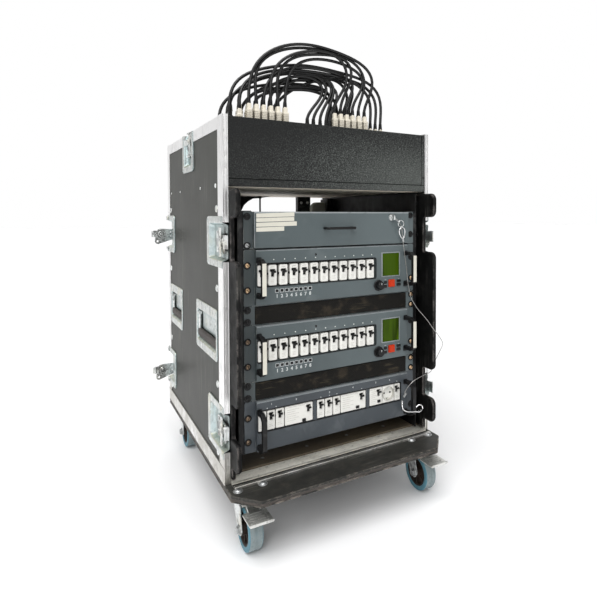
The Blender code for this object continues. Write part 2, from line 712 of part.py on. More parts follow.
# ================================================================ castors
for sx, side in ((-1, "left"), (1, "right")):
    for y, end in zip(CASTOR_Y, ("front", "rear")):
        x = sx * CASTOR_X
        axle = Vector((x, y - TRAIL, WHEEL_R))
        cheek = rounded(
            [(y + 32, 121), (y - 34, 121), (y - TRAIL - 17, 50), (y - TRAIL - 4, 37), (y - TRAIL + 13, 40)],
            [3, 6, 10, 8, 10],
            3,
        )
        fork = extrusion(cheek, 0, x - 24.0, x - 20.5)
        other = extrusion(cheek, 0, x + 20.5, x + 24.0)
        crown = box((x - 24.0, x + 24.0), (y - 34, y + 31), (112.0, 120.5))
        race = cylinder((x, y), 2, 33.0, 118.0, 123.6, 20)
        pin = cylinder((axle.y, axle.z), 0, 5.0, x - 27.0, x + 27.0, 10)
        pivot(
            node(f"castor_fork_{end}_{side}", fork, [other, crown, race, pin], finish=ZINC),
            (x, y, 120.0),
        )
        profile = [(-13.5, WHEEL_R), (13.5, WHEEL_R), (WHEEL_T / 2, WHEEL_R - 4), (WHEEL_T / 2, 40), (11, 38), (11, 16), (19.5, 14), (19.5, 5.6),
                   (-19.5, 5.6), (-19.5, 14), (-11, 16), (-11, 38), (-WHEEL_T / 2, 40), (-WHEEL_T / 2, WHEEL_R - 4)]
        bm = bmesh.new()
        loop = [bm.verts.new(Vector((x + h, axle.y, axle.z + r)) * MM) for h, r in profile]
        edges = [bm.edges.new((loop[k], loop[(k + 1) % len(loop)])) for k in range(len(loop))]
        bmesh.ops.spin(
            bm, geom=loop + edges, cent=axle * MM, axis=(1, 0, 0), angle=2 * math.pi, steps=28, use_merge=True
        )
        bmesh.ops.remove_doubles(bm, verts=bm.verts, dist=1e-6)
        pivot(
            node(f"castor_wheel_{end}_{side}", as_object("wheel", bm), finish=RUBBER_GREY, smooth=True),
            axle,
        )
        if end == "front":
            hinge = Vector((x, y - 44.0, 108.0))
            pedal = box((x - 27.0, x + 27.0), (y - 121.0, y - 66.0), (92.0, 96.5))
            pivot(
                node(
                    f"brake_pedal_{side}",
                    pedal,
                    [
                        extrusion([(y - 72, 92.5), (y - 64, 93.5), (y - 40.5, 104.5), (y - 40.5, 110.5), (y - 47, 110.5), (y - 72, 96.2)], 0, x - 13.0, x + 13.0),
                        box((x - 20.0, x + 20.0), (y - 47.5, y - 40.5), (104.5, 110.5)),
                        box((x - 27.0, x + 27.0), (y - 121.0, y - 117.5), (93.0, 101.0)),
                    ],
                    finish=ZINC,
                ),
                hinge,
            )


# ================================================================ cables and safety wire
def smooth_route(points, count):
    """Points evenly read from a smooth curve through the given ones."""
    p = [Vector(q) for q in points]
    ends = [p[0] * 2 - p[1]] + p + [p[-1] * 2 - p[-2]]
    fine = []
    for i in range(1, len(ends) - 2):
        a, b, c, d = ends[i - 1 : i + 3]
        ta, tb, tc, td = 0.0, 0.0, 0.0, 0.0
        tb = ta + max((b - a).length, 1e-6) ** 0.5
        tc = tb + max((c - b).length, 1e-6) ** 0.5
        td = tc + max((d - c).length, 1e-6) ** 0.5
        for k in range(24):
            t = tb + (tc - tb) * k / 24
            a1 = a * ((tb - t) / (tb - ta)) + b * ((t - ta) / (tb - ta))
            a2 = b * ((tc - t) / (tc - tb)) + c * ((t - tb) / (tc - tb))
            a3 = c * ((td - t) / (td - tc)) + d * ((t - tc) / (td - tc))
            b1 = a1 * ((tc - t) / (tc - ta)) + a2 * ((t - ta) / (tc - ta))
            b2 = a2 * ((td - t) / (td - tb)) + a3 * ((t - tb) / (td - tb))
            fine.append(b1 * ((tc - t) / (tc - tb)) + b2 * ((t - tb) / (tc - tb)))
    fine.append(p[-1])
    far = [0.0]
    for a, b in zip(fine, fine[1:]):
        far.append(far[-1] + (b - a).length)
    out, j = [], 0
    for k in range(count):
        want = far[-1] * k / (count - 1)
        while j < len(far) - 2 and far[j + 1] < want:
            j += 1
        t = (want - far[j]) / max(far[j + 1] - far[j], 1e-9)
        out.append(fine[j].lerp(fine[j + 1], min(1.0, t)))
    return out


def tube(name, points, diameter, count, resolution, finish):
    curve = bpy.data.curves.new(name, "CURVE")
    curve.dimensions = "3D"
    curve.bevel_depth = diameter / 2 * MM
    curve.bevel_resolution = resolution
    curve.use_fill_caps = True
    line = smooth_route(points, count)
    spline = curve.splines.new("POLY")
    spline.points.add(len(line) - 1)
    for point, q in zip(spline.points, line):
        point.co = (*(q * MM), 1.0)
    made = bpy.data.objects.new(name, curve)
    bpy.context.scene.collection.objects.link(made)
    curve.materials.append(finish)
    return made


PLUG_EXIT = PLUG_TOP + 8.5
HIGH_LOOP = [
    (-195.4, PATCH_Y, PLUG_EXIT), (-198.0, PATCH_Y + 3, 1075.0), (-180.0, PATCH_Y + 10, 1135.0), (-130.0, PATCH_Y + 16, 1172.0),
    (-60.0, PATCH_Y + 20, 1183.0), (10.0, PATCH_Y + 20, 1172.0), (70.0, PATCH_Y + 16, 1140.0), (108.0, PATCH_Y + 8, 1095.0),
    (110.0, PATCH_Y + 2, 1060.0), (88.5, PATCH_Y, PLUG_EXIT),
]
LOW_LOOP = [
    (-159.0, PATCH_Y, PLUG_EXIT), (-158.0, PATCH_Y + 2, 1050.0), (-135.0, PATCH_Y + 8, 1092.0), (-80.0, PATCH_Y + 12, 1112.0),
    (-30.0, PATCH_Y + 12, 1104.0), (8.0, PATCH_Y + 8, 1080.0), (26.0, PATCH_Y + 2, 1052.0), (33.0, PATCH_Y, PLUG_EXIT),
]
tube("patch_cables_high", HIGH_LOOP, 16.0, 26, 3, CABLE_BLACK)
tube("patch_cables_low", LOW_LOOP, 16.0, 20, 3, CABLE_BLACK)

SAFETY_WIRE = [
    (172.0, -289.0, 741.0), (183.0, -288.0, 734.0), (191.0, -286.0, 720.0), (194.0, -285.0, 700.0), (197.0, -289.0, 660.0),
    (198.5, -298.0, 610.0), (199.0, -308.0, 560.0), (203.0, -316.0, 530.0), (215.0, -326.0, 505.0), (238.0, -336.0, 475.0),
    (260.0, -337.5, 447.0), (280.0, -336.5, 425.0), (296.0, -332.0, 406.0), (300.5, -327.0, 394.0), (297.0, -319.0, 375.0),
    (291.0, -312.0, 355.0), (286.0, -309.0, 338.0), (275.0, -307.5, 320.0), (250.0, -309.5, 314.5), (228.0, -314.5, 312.0),
    (208.0, -318.0, 307.5), (196.0, -315.0, 297.0), (190.0, -306.0, 280.0), (189.0, -300.0, 262.0),
]
tube("safety_wire", SAFETY_WIRE, 2.2, 58, 2, WIRE)
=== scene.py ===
"""Dimmer rack: the looks of the wheeled case, its drawer, dimmers, power unit, patch field and cables.

Shapes are written in millimetres in the row frame (x right, y back, z up) and turned into metres when a mesh is made.
"""

import math

import bmesh
import bpy
from mathutils import Matrix, Vector


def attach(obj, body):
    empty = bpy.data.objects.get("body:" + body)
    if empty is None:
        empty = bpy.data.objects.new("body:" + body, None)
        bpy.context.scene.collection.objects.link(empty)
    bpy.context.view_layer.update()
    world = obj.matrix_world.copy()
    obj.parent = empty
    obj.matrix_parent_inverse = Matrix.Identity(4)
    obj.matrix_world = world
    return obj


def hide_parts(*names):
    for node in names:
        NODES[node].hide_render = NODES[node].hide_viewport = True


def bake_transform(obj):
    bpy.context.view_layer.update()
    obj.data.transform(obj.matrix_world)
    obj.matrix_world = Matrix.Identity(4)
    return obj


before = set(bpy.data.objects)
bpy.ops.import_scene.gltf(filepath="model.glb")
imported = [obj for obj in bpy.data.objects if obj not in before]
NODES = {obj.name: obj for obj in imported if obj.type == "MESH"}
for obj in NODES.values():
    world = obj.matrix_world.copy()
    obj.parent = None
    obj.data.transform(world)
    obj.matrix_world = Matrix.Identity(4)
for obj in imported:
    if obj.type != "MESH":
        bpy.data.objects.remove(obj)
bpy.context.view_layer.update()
MM = 0.001

# ================================================================ camera
EYE = Vector((-605.4, -1420.7, 758.1))
TURN = Matrix.Rotation(math.radians(-31.88), 3, "Z") @ Matrix.Rotation(math.radians(88.55), 3, "X")
FOCAL, MIDDLE = 509.65, (373.37, 227.15)

camera_data = bpy.data.cameras.new("camera")
camera = bpy.data.objects.new("camera", camera_data)
bpy.context.scene.collection.objects.link(camera)
camera.matrix_world = Matrix.Translation(EYE * MM) @ TURN.to_4x4()
camera_data.sensor_width = 36.0
camera_data.lens = 36.0 * FOCAL / 599
camera_data.shift_x = -(MIDDLE[0] - 298.5) / 599
camera_data.shift_y = (MIDDLE[1] - 299.5) / 599
camera_data.clip_start = 0.05
camera_data.clip_end = 60
bpy.context.scene.camera = camera


def seen(u, v, y):
    """The point at depth y, in millimetres, that stands at (u, v) in the picture."""
    ray = TURN @ Vector(((u - MIDDLE[0]) / FOCAL, -(v - MIDDLE[1]) / FOCAL, -1.0))
    return EYE + ray * ((y - EYE.y) / ray.y)


# ================================================================ materials
def srgb(r, g, b):
    def one(c):
        c /= 255
        return c / 12.92 if c <= 0.04045 else ((c + 0.055) / 1.055) ** 2.4

    return (one(r), one(g), one(b))


class Finish:
    """A Principled material and the nodes that vary it."""

    def __init__(self, name, colour, rough, metal=0.0, coat=0.0, spec=None):
        self.m = bpy.data.materials.new(name)
        self.m.use_nodes = True
        self.t = self.m.node_tree
        self.s = self.t.nodes["Principled BSDF"]
        self.colour, self.rough = colour, rough
        self.s.inputs["Base Color"].default_value = (*colour, 1)
        self.s.inputs["Roughness"].default_value = rough
        self.s.inputs["Metallic"].default_value = metal
        if coat:
            self.s.inputs["Coat Weight"].default_value = coat
            self.s.inputs["Coat Roughness"].default_value = 0.08
        if spec is not None:
            self.s.inputs["Specular IOR Level"].default_value = spec
        coord = self.node("ShaderNodeTexCoord")
        self.where = coord.outputs["Object"]
        self.col_out = None
        self.rough_out = None
        self.height = None

    def node(self, kind, **inputs):
        n = self.t.nodes.new(kind)
        for key, value in inputs.items():
            n.inputs[key.replace("_", " ")].default_value = value
        return n

    def link(self, a, b):
        self.t.links.new(a, b)

    def stretched(self, stretch, turn=(0, 0, 0)):
        n = self.node("ShaderNodeMapping")
        n.inputs["Scale"].default_value = stretch
        n.inputs["Rotation"].default_value = turn
        self.link(self.where, n.inputs["Vector"])
        return n.outputs["Vector"]

    def noise(self, scale, detail=4.0, rough=0.55, stretch=None, turn=(0, 0, 0), distort=0.0):
        n = self.node("ShaderNodeTexNoise")
        n.inputs["Scale"].default_value = scale
        n.inputs["Detail"].default_value = detail
        n.inputs["Roughness"].default_value = rough
        n.inputs["Distortion"].default_value = distort
        self.link(self.stretched(stretch, turn) if stretch else self.where, n.inputs["Vector"])
        return n.outputs["Fac"]

    def ramp(self, value, low, high, a=0.0, b=1.0):
        n = self.node("ShaderNodeMapRange")
        n.clamp = True
        n.interpolation_type = "SMOOTHSTEP"
        for key, v in zip(("From Min", "From Max", "To Min", "To Max"), (low, high, a, b)):
            n.inputs[key].default_value = v
        self.link(value, n.inputs["Value"])
        return n.outputs["Result"]

    def times(self, a, b, operation="MULTIPLY"):
        n = self.node("ShaderNodeMath")
        n.operation = operation
        for k, v in enumerate((a, b)):
            if isinstance(v, (int, float)):
                n.inputs[k].default_value = v
            else:
                self.link(v, n.inputs[k])
        return n.outputs["Value"]

    def tint(self, mask, colour, amount=1.0):
        """Mixes a colour over the base where mask is high."""
        n = self.node("ShaderNodeMix")
        n.data_type = "RGBA"
        if self.col_out is None:
            n.inputs["A"].default_value = (*self.colour, 1)
        else:
            self.link(self.col_out, n.inputs["A"])
        n.inputs["B"].default_value = (*colour, 1)
        self.link(self.times(mask, amount) if amount != 1.0 else mask, n.inputs["Factor"])
        self.col_out = n.outputs["Result"]
        return self

    def polish(self, mask, rough):
        """Moves the roughness to another value where mask is high."""
        n = self.node("ShaderNodeMix")
        n.data_type = "FLOAT"
        if self.rough_out is None:
            n.inputs["A"].default_value = self.rough
        else:
            self.link(self.rough_out, n.inputs["A"])
        n.inputs["B"].default_value = rough
        self.link(mask, n.inputs["Factor"])
        self.rough_out = n.outputs["Result"]
        return self

    def relief(self, value, depth_mm, strength=1.0):
        """Adds height, in millimetres, from a value."""
        scaled = self.times(value, depth_mm)
        self.height = scaled if self.height is None else self.times(self.height, scaled, "ADD")
        self.strength = strength
        return self

    def cloudy(self, scale, amount, detail=5.0):
        """Darker and lighter patches of the base colour."""
        n = self.noise(scale, detail)
        dark = tuple(c * (1 - amount) for c in self.colour)
        light = tuple(min(1, c * (1 + amount)) for c in self.colour)
        self.tint(self.ramp(n, 0.5, 0.28), dark)
        self.tint(self.ramp(n, 0.5, 0.72), light)
        return self

    def edges(self, radius_mm, colour, amount=1.0, rough=None, patchy=70):
        """Wear along the edges, broken up by a noise."""
        soft = self.node("ShaderNodeBevel")
        soft.samples = 4
        soft.inputs["Radius"].default_value = radius_mm * MM
        flat = self.node("ShaderNodeNewGeometry")
        dot = self.node("ShaderNodeVectorMath")
        dot.operation = "DOT_PRODUCT"
        self.link(soft.outputs["Normal"], dot.inputs[0])
        self.link(flat.outputs["Normal"], dot.inputs[1])
        near = self.ramp(dot.outputs["Value"], 0.995, 0.93)
        mask = self.times(near, self.ramp(self.noise(patchy, 6), 0.42, 0.62))
        self.tint(mask, colour, amount)
        if rough is not None:
            self.polish(mask, rough)
        return self

    def scuffs(self, colour, amount=0.5, scale=6.0, rough=None):
        """Fine scratches in three directions."""
        for k, turn in enumerate(((0.3, 0.5, 0.2), (1.1, -0.4, 0.9), (-0.7, 0.9, -1.2))):
            line = self.noise(scale, 2, 0.5, (1, 45, 1), turn, 0.4)
            band = self.times(self.ramp(line, 0.585, 0.6), self.ramp(self.noise(scale * 1.7 + k, 3), 0.5, 0.66))
            self.tint(band, colour, amount)
            if rough is not None:
                self.polish(band, rough)
        return self

    def dust(self, colour, amount=0.35):
        """Dust that lies on faces that look up."""
        geo = self.node("ShaderNodeNewGeometry")
        sep = self.node("ShaderNodeSeparateXYZ")
        self.link(geo.outputs["Normal"], sep.inputs["Vector"])
        mask = self.times(self.ramp(sep.outputs["Z"], 0.4, 0.95), self.ramp(self.noise(35, 6), 0.3, 0.75))
        self.tint(mask, colour, amount)
        return self

    def along(self, axis):
        """The place along one axis of the object, in metres."""
        n = self.node("ShaderNodeSeparateXYZ")
        self.link(self.where, n.inputs["Vector"])
        return n.outputs["XYZ"[axis]]

    def crevice_shade(self, reach_mm, colour, amount=1.0, low=0.8, high=0.35):
        """Painted shade: a colour mixed in where faces stand close together."""
        n = self.node("ShaderNodeAmbientOcclusion")
        n.samples = 6
        n.inputs["Distance"].default_value = reach_mm * MM
        self.tint(self.ramp(n.outputs["AO"], low, high), colour, amount)
        return self

    def done(self):
        if self.col_out is not None:
            self.link(self.col_out, self.s.inputs["Base Color"])
        if self.rough_out is not None:
            self.link(self.rough_out, self.s.inputs["Roughness"])
        if self.height is not None:
            b = self.node("ShaderNodeBump")
            b.inputs["Strength"].default_value = self.strength
            b.inputs["Distance"].default_value = MM
            self.link(self.height, b.inputs["Height"])
            self.link(b.outputs["Normal"], self.s.inputs["Normal"])
        return self.m


def make_finishes():
    F = {}

    f = Finish("laminate", srgb(46, 47, 42), 0.42, spec=0.3)
    f.cloudy(2.2, 0.14).scuffs(srgb(120, 120, 112), 0.22, 4.0)
    f.tint(f.ramp(f.noise(900, 2), 0.6, 0.75), srgb(92, 92, 86), 0.25)
    f.polish(f.noise(9, 5), 0.52).relief(f.noise(650, 3), 0.05)
    F["laminate"] = f.done()

    f = Finish("aluminium", (0.98, 0.975, 0.97), 0.36, 1.0)
    f.cloudy(12, 0.04)
    f.tint(f.ramp(f.noise(40, 6, 0.7), 0.57, 0.7), (0.5, 0.49, 0.48), 0.4)
    f.polish(f.ramp(f.noise(6, 5, 0.6, (30, 30, 1.0)), 0.35, 0.7), 0.5)
    f.scuffs((0.5, 0.5, 0.5), 0.5, 9.0, 0.55).relief(f.noise(160, 3, 0.5, (1, 1, 0.06)), 0.03)
    low = f.ramp(f.along(2), 0.33, 0.17)
    f.tint(f.times(low, f.ramp(f.noise(11, 5, 0.6), 0.25, 0.6)), (0.44, 0.42, 0.36), 0.72)
    f.tint(f.times(low, f.ramp(f.noise(60, 5, 0.7), 0.52, 0.68)), (0.2, 0.19, 0.17), 0.45)
    # Painted shade: darker where faces stand close together.
    f.crevice_shade(9, (0.25, 0.24, 0.22), 0.5, 0.7, 0.3)
    F["aluminium"] = f.done()

    f = Finish("zinc", (0.82, 0.84, 0.83), 0.3, 1.0)
    f.tint(f.ramp(f.noise(14, 4), 0.52, 0.7), (0.70, 0.64, 0.44), 0.45)
    f.tint(f.ramp(f.noise(55, 6, 0.7), 0.48, 0.6), (0.26, 0.26, 0.26), 0.75)
    f.tint(f.ramp(f.noise(22, 5, 0.6), 0.3, 0.2), (0.45, 0.52, 0.55), 0.4)
    # Painted shade: near black where faces stand close together.
    f.crevice_shade(6, (0.08, 0.08, 0.075), 0.5, 0.6, 0.25)
    f.polish(f.ramp(f.noise(30, 6), 0.35, 0.7), 0.52).scuffs((0.45, 0.45, 0.44), 0.5, 14.0, 0.6)
    f.relief(f.noise(28, 2), 0.5).relief(f.noise(240, 3), 0.04)
    F["zinc"] = f.done()

    f = Finish("dish", (0.66, 0.68, 0.66), 0.34, 1.0)
    # Painted reflection: faces that look up take a warm tint, faces that look to the front or the back a blue one.
    geo = f.node("ShaderNodeNewGeometry")
    sep = f.node("ShaderNodeSeparateXYZ")
    f.link(geo.outputs["Normal"], sep.inputs["Vector"])
    f.tint(f.ramp(sep.outputs["Z"], 0.25, 0.7), (0.80, 0.70, 0.42), 0.6)
    f.tint(f.ramp(f.times(sep.outputs["Y"], sep.outputs["Y"]), 0.25, 0.7), (0.62, 0.72, 0.74), 0.5)
    f.tint(f.ramp(f.noise(16, 4), 0.52, 0.7), (0.70, 0.64, 0.46), 0.45)
    f.tint(f.ramp(f.noise(60, 6, 0.7), 0.5, 0.64), (0.26, 0.27, 0.27), 0.5).tint(f.ramp(f.noise(90, 4, 0.6), 0.5, 0.66), (0.93, 0.95, 0.95), 0.5)
    # Painted shade: a teal tint in wide hollows and near black in tight ones.
    f.crevice_shade(60, (0.42, 0.56, 0.57), 0.6, 0.97, 0.7).crevice_shade(26, (0.04, 0.045, 0.04), 0.95, 0.72, 0.36)
    f.polish(f.ramp(f.noise(34, 6), 0.35, 0.7), 0.55).scuffs((0.3, 0.3, 0.3), 0.6, 16.0, 0.6)
    f.relief(f.noise(30, 2), 0.6).relief(f.noise(240, 3), 0.05)
    F["dish"] = f.done()

    f = Finish("sill_metal", (0.90, 0.88, 0.81), 0.45, 1.0)
    f.tint(f.ramp(f.noise(18, 5), 0.5, 0.72), (0.62, 0.60, 0.53), 0.5).tint(f.ramp(f.noise(90, 6, 0.7), 0.56, 0.7), (0.36, 0.34, 0.3), 0.6)
    f.polish(f.ramp(f.noise(24, 5), 0.35, 0.7), 0.6).scuffs((0.4, 0.4, 0.38), 0.5, 12.0)
    F["sill_metal"] = f.done()

    f = Finish("pedal_metal", (0.74, 0.74, 0.71), 0.44, 1.0)
    f.tint(f.ramp(f.noise(26, 5), 0.5, 0.7), (0.62, 0.60, 0.55), 0.5).polish(f.ramp(f.noise(30, 5), 0.35, 0.7), 0.55).scuffs((0.5, 0.5, 0.48), 0.5, 14.0)
    # Painted shade: dark where faces stand close together.
    f.crevice_shade(7, (0.1, 0.1, 0.09), 0.8, 0.75, 0.35).tint(f.ramp(f.noise(60, 6, 0.7), 0.52, 0.62), (0.3, 0.3, 0.28), 0.6)
    F["pedal_metal"] = f.done()

    # A pale paint: the own colour of the display frames, and a painted highlight on the top edges of the fronts and the
    # drawer.
    f = Finish("rack_edge", srgb(150, 156, 158), 0.34, 0.3)
    f.cloudy(18, 0.12).tint(f.ramp(f.noise(70, 5), 0.55, 0.7), srgb(98, 105, 109), 0.6)
    F["rack_edge"] = f.done()

    # A darker zinc: the plating of bolts, screws and axles, and painted shade on the latch springs.
    f = Finish("zinc_dark", (0.46, 0.47, 0.47), 0.38, 1.0)
    f.cloudy(30, 0.2).tint(f.ramp(f.noise(60, 6, 0.7), 0.55, 0.72), (0.22, 0.21, 0.2), 0.6)
    f.polish(f.ramp(f.noise(45, 6), 0.4, 0.7), 0.6).relief(f.noise(200, 3), 0.05)
    F["zinc_dark"] = f.done()

    f = Finish("chrome", (0.9, 0.9, 0.9), 0.12, 1.0)
    f.polish(f.ramp(f.noise(90, 5), 0.45, 0.75), 0.3)
    F["chrome"] = f.done()

    f = Finish("black_grain", srgb(18, 20, 20), 0.44, spec=0.34)
    grain = f.noise(310, 3, 0.6)
    # Painted sheen and shade: the grain shows lighter towards the right and the bottom, and the board is darker towards
    # the left and the top.
    right, up = f.along(0), f.along(2)
    painted_sheen = f.ramp(f.times(f.ramp(right, -0.24, 0.2), f.ramp(up, 1.0, 0.84), "ADD"), 0.1, 1.4, 0.3, 1.0)
    f.cloudy(4, 0.3).tint(f.times(f.ramp(grain, 0.48, 0.62), painted_sheen), srgb(92, 96, 93), 0.62)
    f.tint(f.times(f.ramp(f.noise(520, 2), 0.56, 0.66), painted_sheen), srgb(150, 155, 150), 0.42).tint(f.ramp(f.noise(330, 2), 0.44, 0.32), srgb(4, 5, 5), 0.7)
    f.tint(f.ramp(right, 0.03, -0.27), srgb(9, 10, 10), 0.62).tint(f.ramp(up, 0.9, 0.972), srgb(10, 11, 11), 0.35)
    f.tint(f.times(f.ramp(right, -0.1, 0.26), f.ramp(up, 0.975, 0.85)), srgb(112, 117, 113), 0.3)
    f.polish(f.noise(7, 5), 0.6).edges(1.6, srgb(120, 122, 118), 0.55)
    f.relief(grain, 0.5).relief(f.noise(900, 2), 0.15)
    F["black_grain"] = f.done()

    f = Finish("black_board", srgb(9, 9, 9), 0.42, spec=0.17)
    f.cloudy(8, 0.3).scuffs(srgb(84, 84, 80), 0.3, 7.0, 0.6)
    f.tint(f.ramp(f.noise(260, 3), 0.57, 0.72), srgb(58, 58, 56), 0.3).tint(f.ramp(f.noise(40, 5), 0.58, 0.75), srgb(66, 64, 60), 0.25)
    f.polish(f.ramp(f.noise(20, 5), 0.35, 0.7), 0.62).edges(3.8, srgb(176, 168, 164), 0.88, 0.42, 38)
    f.relief(f.noise(500, 3), 0.12)
    F["black_board"] = f.done()

    f = Finish("phenolic", srgb(34, 34, 32), 0.46, spec=0.35)
    f.cloudy(5, 0.25).scuffs(srgb(88, 86, 80), 0.5, 5.0).dust(srgb(84, 80, 72), 0.15)
    f.tint(f.ramp(f.noise(340, 3), 0.56, 0.72), srgb(70, 69, 65), 0.45).tint(f.ramp(f.noise(13, 6, 0.7), 0.55, 0.72), srgb(84, 78, 70), 0.4)
    f.edges(3.4, srgb(168, 158, 146), 0.9, 0.5, 50).polish(f.noise(11, 5), 0.6).relief(f.noise(420, 3), 0.1)
    F["phenolic"] = f.done()

    f = Finish("board_edge", srgb(58, 53, 49), 0.6)
    layer = f.noise(60, 3, 0.5, (1, 1, 14))
    f.tint(f.ramp(layer, 0.45, 0.6), srgb(88, 80, 73), 0.6).tint(f.ramp(f.noise(30, 5), 0.55, 0.7), srgb(36, 33, 31), 0.7)
    f.relief(layer, 0.2)
    F["board_edge"] = f.done()

    f = Finish("birch", srgb(244, 234, 218), 0.62)
    ring = f.noise(7, 5, 0.55, (6, 0.35, 1), (0, 0, 0), 0.6)
    f.tint(f.ramp(ring, 0.42, 0.6), srgb(222, 208, 188), 0.7).tint(f.ramp(f.noise(90, 4, 0.5, (8, 0.3, 1)), 0.55, 0.7), srgb(170, 152, 128), 0.5)
    f.relief(f.noise(120, 3, 0.5, (10, 0.4, 1)), 0.08)
    F["birch"] = f.done()

    f = Finish("floor_ply", srgb(92, 82, 66), 0.5)
    f.cloudy(6, 0.2).tint(f.ramp(f.noise(80, 4, 0.5, (0.3, 8, 1)), 0.5, 0.7), srgb(50, 44, 37), 0.6)
    f.scuffs(srgb(112, 104, 90), 0.4, 8.0).dust(srgb(110, 104, 92), 0.2).relief(f.noise(240, 3, 0.5, (0.4, 6, 1)), 0.08)
    F["floor_ply"] = f.done()

    f = Finish("rack_paint", srgb(78, 88, 90), 0.38, 0.0, spec=0.45)
    f.cloudy(7, 0.12).tint(f.ramp(f.noise(1400, 2), 0.58, 0.74), srgb(108, 116, 120), 0.4)
    f.scuffs(srgb(128, 134, 136), 0.22, 6.0).polish(f.ramp(f.noise(16, 5), 0.35, 0.7), 0.5)
    f.tint(f.ramp(f.noise(3.2, 4, 0.5), 0.46, 0.3), srgb(62, 70, 72), 0.5)
    # Painted light and shade: lighter towards the right, darker along the far left ears.
    f.tint(f.ramp(f.along(0), -0.15, 0.2), srgb(104, 115, 117), 0.4).tint(f.ramp(f.along(0), -0.2, -0.228), srgb(50, 55, 55), 0.6)
    f.edges(1.1, srgb(176, 176, 168), 0.9, 0.35, 35).relief(f.noise(1000, 2), 0.05)
    F["rack_paint"] = f.done()

    # A darker, bluer copy of the rack paint for the power unit: painted shade.
    f = Finish("shaded_rack_paint", srgb(66, 72, 77), 0.36, 0.0, spec=0.42)
    f.cloudy(7, 0.12).tint(f.ramp(f.noise(1400, 2), 0.58, 0.74), srgb(96, 102, 108), 0.4)
    f.scuffs(srgb(120, 126, 130), 0.22, 6.0).polish(f.ramp(f.noise(16, 5), 0.35, 0.7), 0.48)
    f.tint(f.ramp(f.noise(3.2, 4, 0.5), 0.46, 0.3), srgb(54, 58, 62), 0.5).edges(1.1, srgb(170, 172, 170), 0.9, 0.35, 35).relief(f.noise(1000, 2), 0.05)
    F["shaded_rack_paint"] = f.done()

    f = Finish("black_paint", srgb(12, 12, 13), 0.38, spec=0.35)
    f.cloudy(14, 0.25).scuffs(srgb(80, 80, 78), 0.4, 12.0, 0.5)
    f.polish(f.ramp(f.noise(35, 5), 0.35, 0.7), 0.55).edges(0.9, srgb(90, 90, 88), 0.6, 0.4, 60).relief(f.noise(900, 2), 0.05)
    F["black_paint"] = f.done()

    # Flat black standing for shade in holes, slots, grooves and gaps: painted shade.
    f = Finish("painted_shade_black", srgb(8, 8, 8), 0.7)
    f.cloudy(30, 0.3)
    F["painted_shade_black"] = f.done()

    f = Finish("vent", srgb(20, 18, 14), 0.6, spec=0.2)
    wave_a = f.node("ShaderNodeTexWave")
    wave_b = f.node("ShaderNodeTexWave")
    for wave, turn in ((wave_a, 0.785), (wave_b, -0.785)):
        wave.bands_direction = "X"
        wave.inputs["Scale"].default_value = 75
        f.link(f.stretched((1, 1, 1), (0, turn, 0)), wave.inputs["Vector"])
    # Painted shade: the holes of the mesh are tinted near black.
    hole = f.times(f.ramp(wave_a.outputs["Fac"], 0.35, 0.65), f.ramp(wave_b.outputs["Fac"], 0.35, 0.65))
    f.tint(hole, srgb(6, 6, 5), 0.95).tint(f.ramp(f.noise(30, 5), 0.5, 0.72), srgb(66, 58, 46), 0.5).tint(f.ramp(f.noise(60, 5, 0.6, (0.25, 1, 2)), 0.56, 0.7), srgb(86, 78, 62), 0.4)
    f.relief(hole, -0.5)
    F["vent"] = f.done()

    f = Finish("galvanised", (0.55, 0.56, 0.57), 0.42, 1.0)
    f.cloudy(40, 0.18).polish(f.ramp(f.noise(60, 4), 0.4, 0.7), 0.55).scuffs((0.35, 0.35, 0.35), 0.4, 10.0)
    F["galvanised"] = f.done()

    f = Finish("breaker_white", srgb(236, 235, 229), 0.38)
    # Painted shade: darker in corners and slots.
    f.cloudy(60, 0.04).tint(f.ramp(f.noise(160, 5), 0.6, 0.8), srgb(196, 190, 176), 0.25).crevice_shade(3, srgb(70, 68, 62), 0.8, 0.7, 0.35).relief(f.noise(900, 2), 0.03)
    F["breaker_white"] = f.done()

    f = Finish("breaker_grey", srgb(190, 188, 180), 0.5)
    f.cloudy(50, 0.06).relief(f.noise(700, 2), 0.03)
    F["breaker_grey"] = f.done()

    f = Finish("black_plastic", srgb(9, 9, 10), 0.34, spec=0.35)
    f.cloudy(40, 0.25).polish(f.ramp(f.noise(120, 4), 0.4, 0.7), 0.5).edges(0.5, srgb(70, 70, 70), 0.5, 0.4, 90)
    f.relief(f.noise(1100, 2), 0.03)
    F["black_plastic"] = f.done()

    f = Finish("red_plastic", srgb(192, 50, 10), 0.36, spec=0.22)
    f.cloudy(60, 0.12).tint(f.ramp(f.noise(90, 3), 0.55, 0.75), srgb(226, 104, 64), 0.35)
    F["red_plastic"] = f.done()

    f = Finish("display", srgb(56, 80, 0), 0.26, spec=0.1)
    f.tint(f.ramp(f.noise(13, 2, 0.5, (2.2, 1, 0.25)), 0.54, 0.4), srgb(34, 50, 0), 0.9)
    f.tint(f.ramp(f.noise(16, 2, 0.5, (1.6, 1, 0.3)), 0.55, 0.72), srgb(92, 126, 14), 0.7)
    F["display"] = f.done()

    f = Finish("cream", srgb(230, 223, 207), 0.42)
    # Painted shade: dark in the gaps between plugs.
    f.cloudy(50, 0.06).tint(f.ramp(f.noise(120, 5), 0.58, 0.75), srgb(184, 174, 148), 0.4).crevice_shade(7, srgb(60, 54, 44), 0.85, 0.75, 0.3).relief(f.noise(600, 2), 0.04)
    F["cream"] = f.done()

    f = Finish("cable", srgb(9, 9, 9), 0.29, spec=0.5)
    f.cloudy(30, 0.25).polish(f.ramp(f.noise(50, 4), 0.4, 0.7), 0.5).relief(f.noise(700, 3), 0.05)
    F["cable"] = f.done()

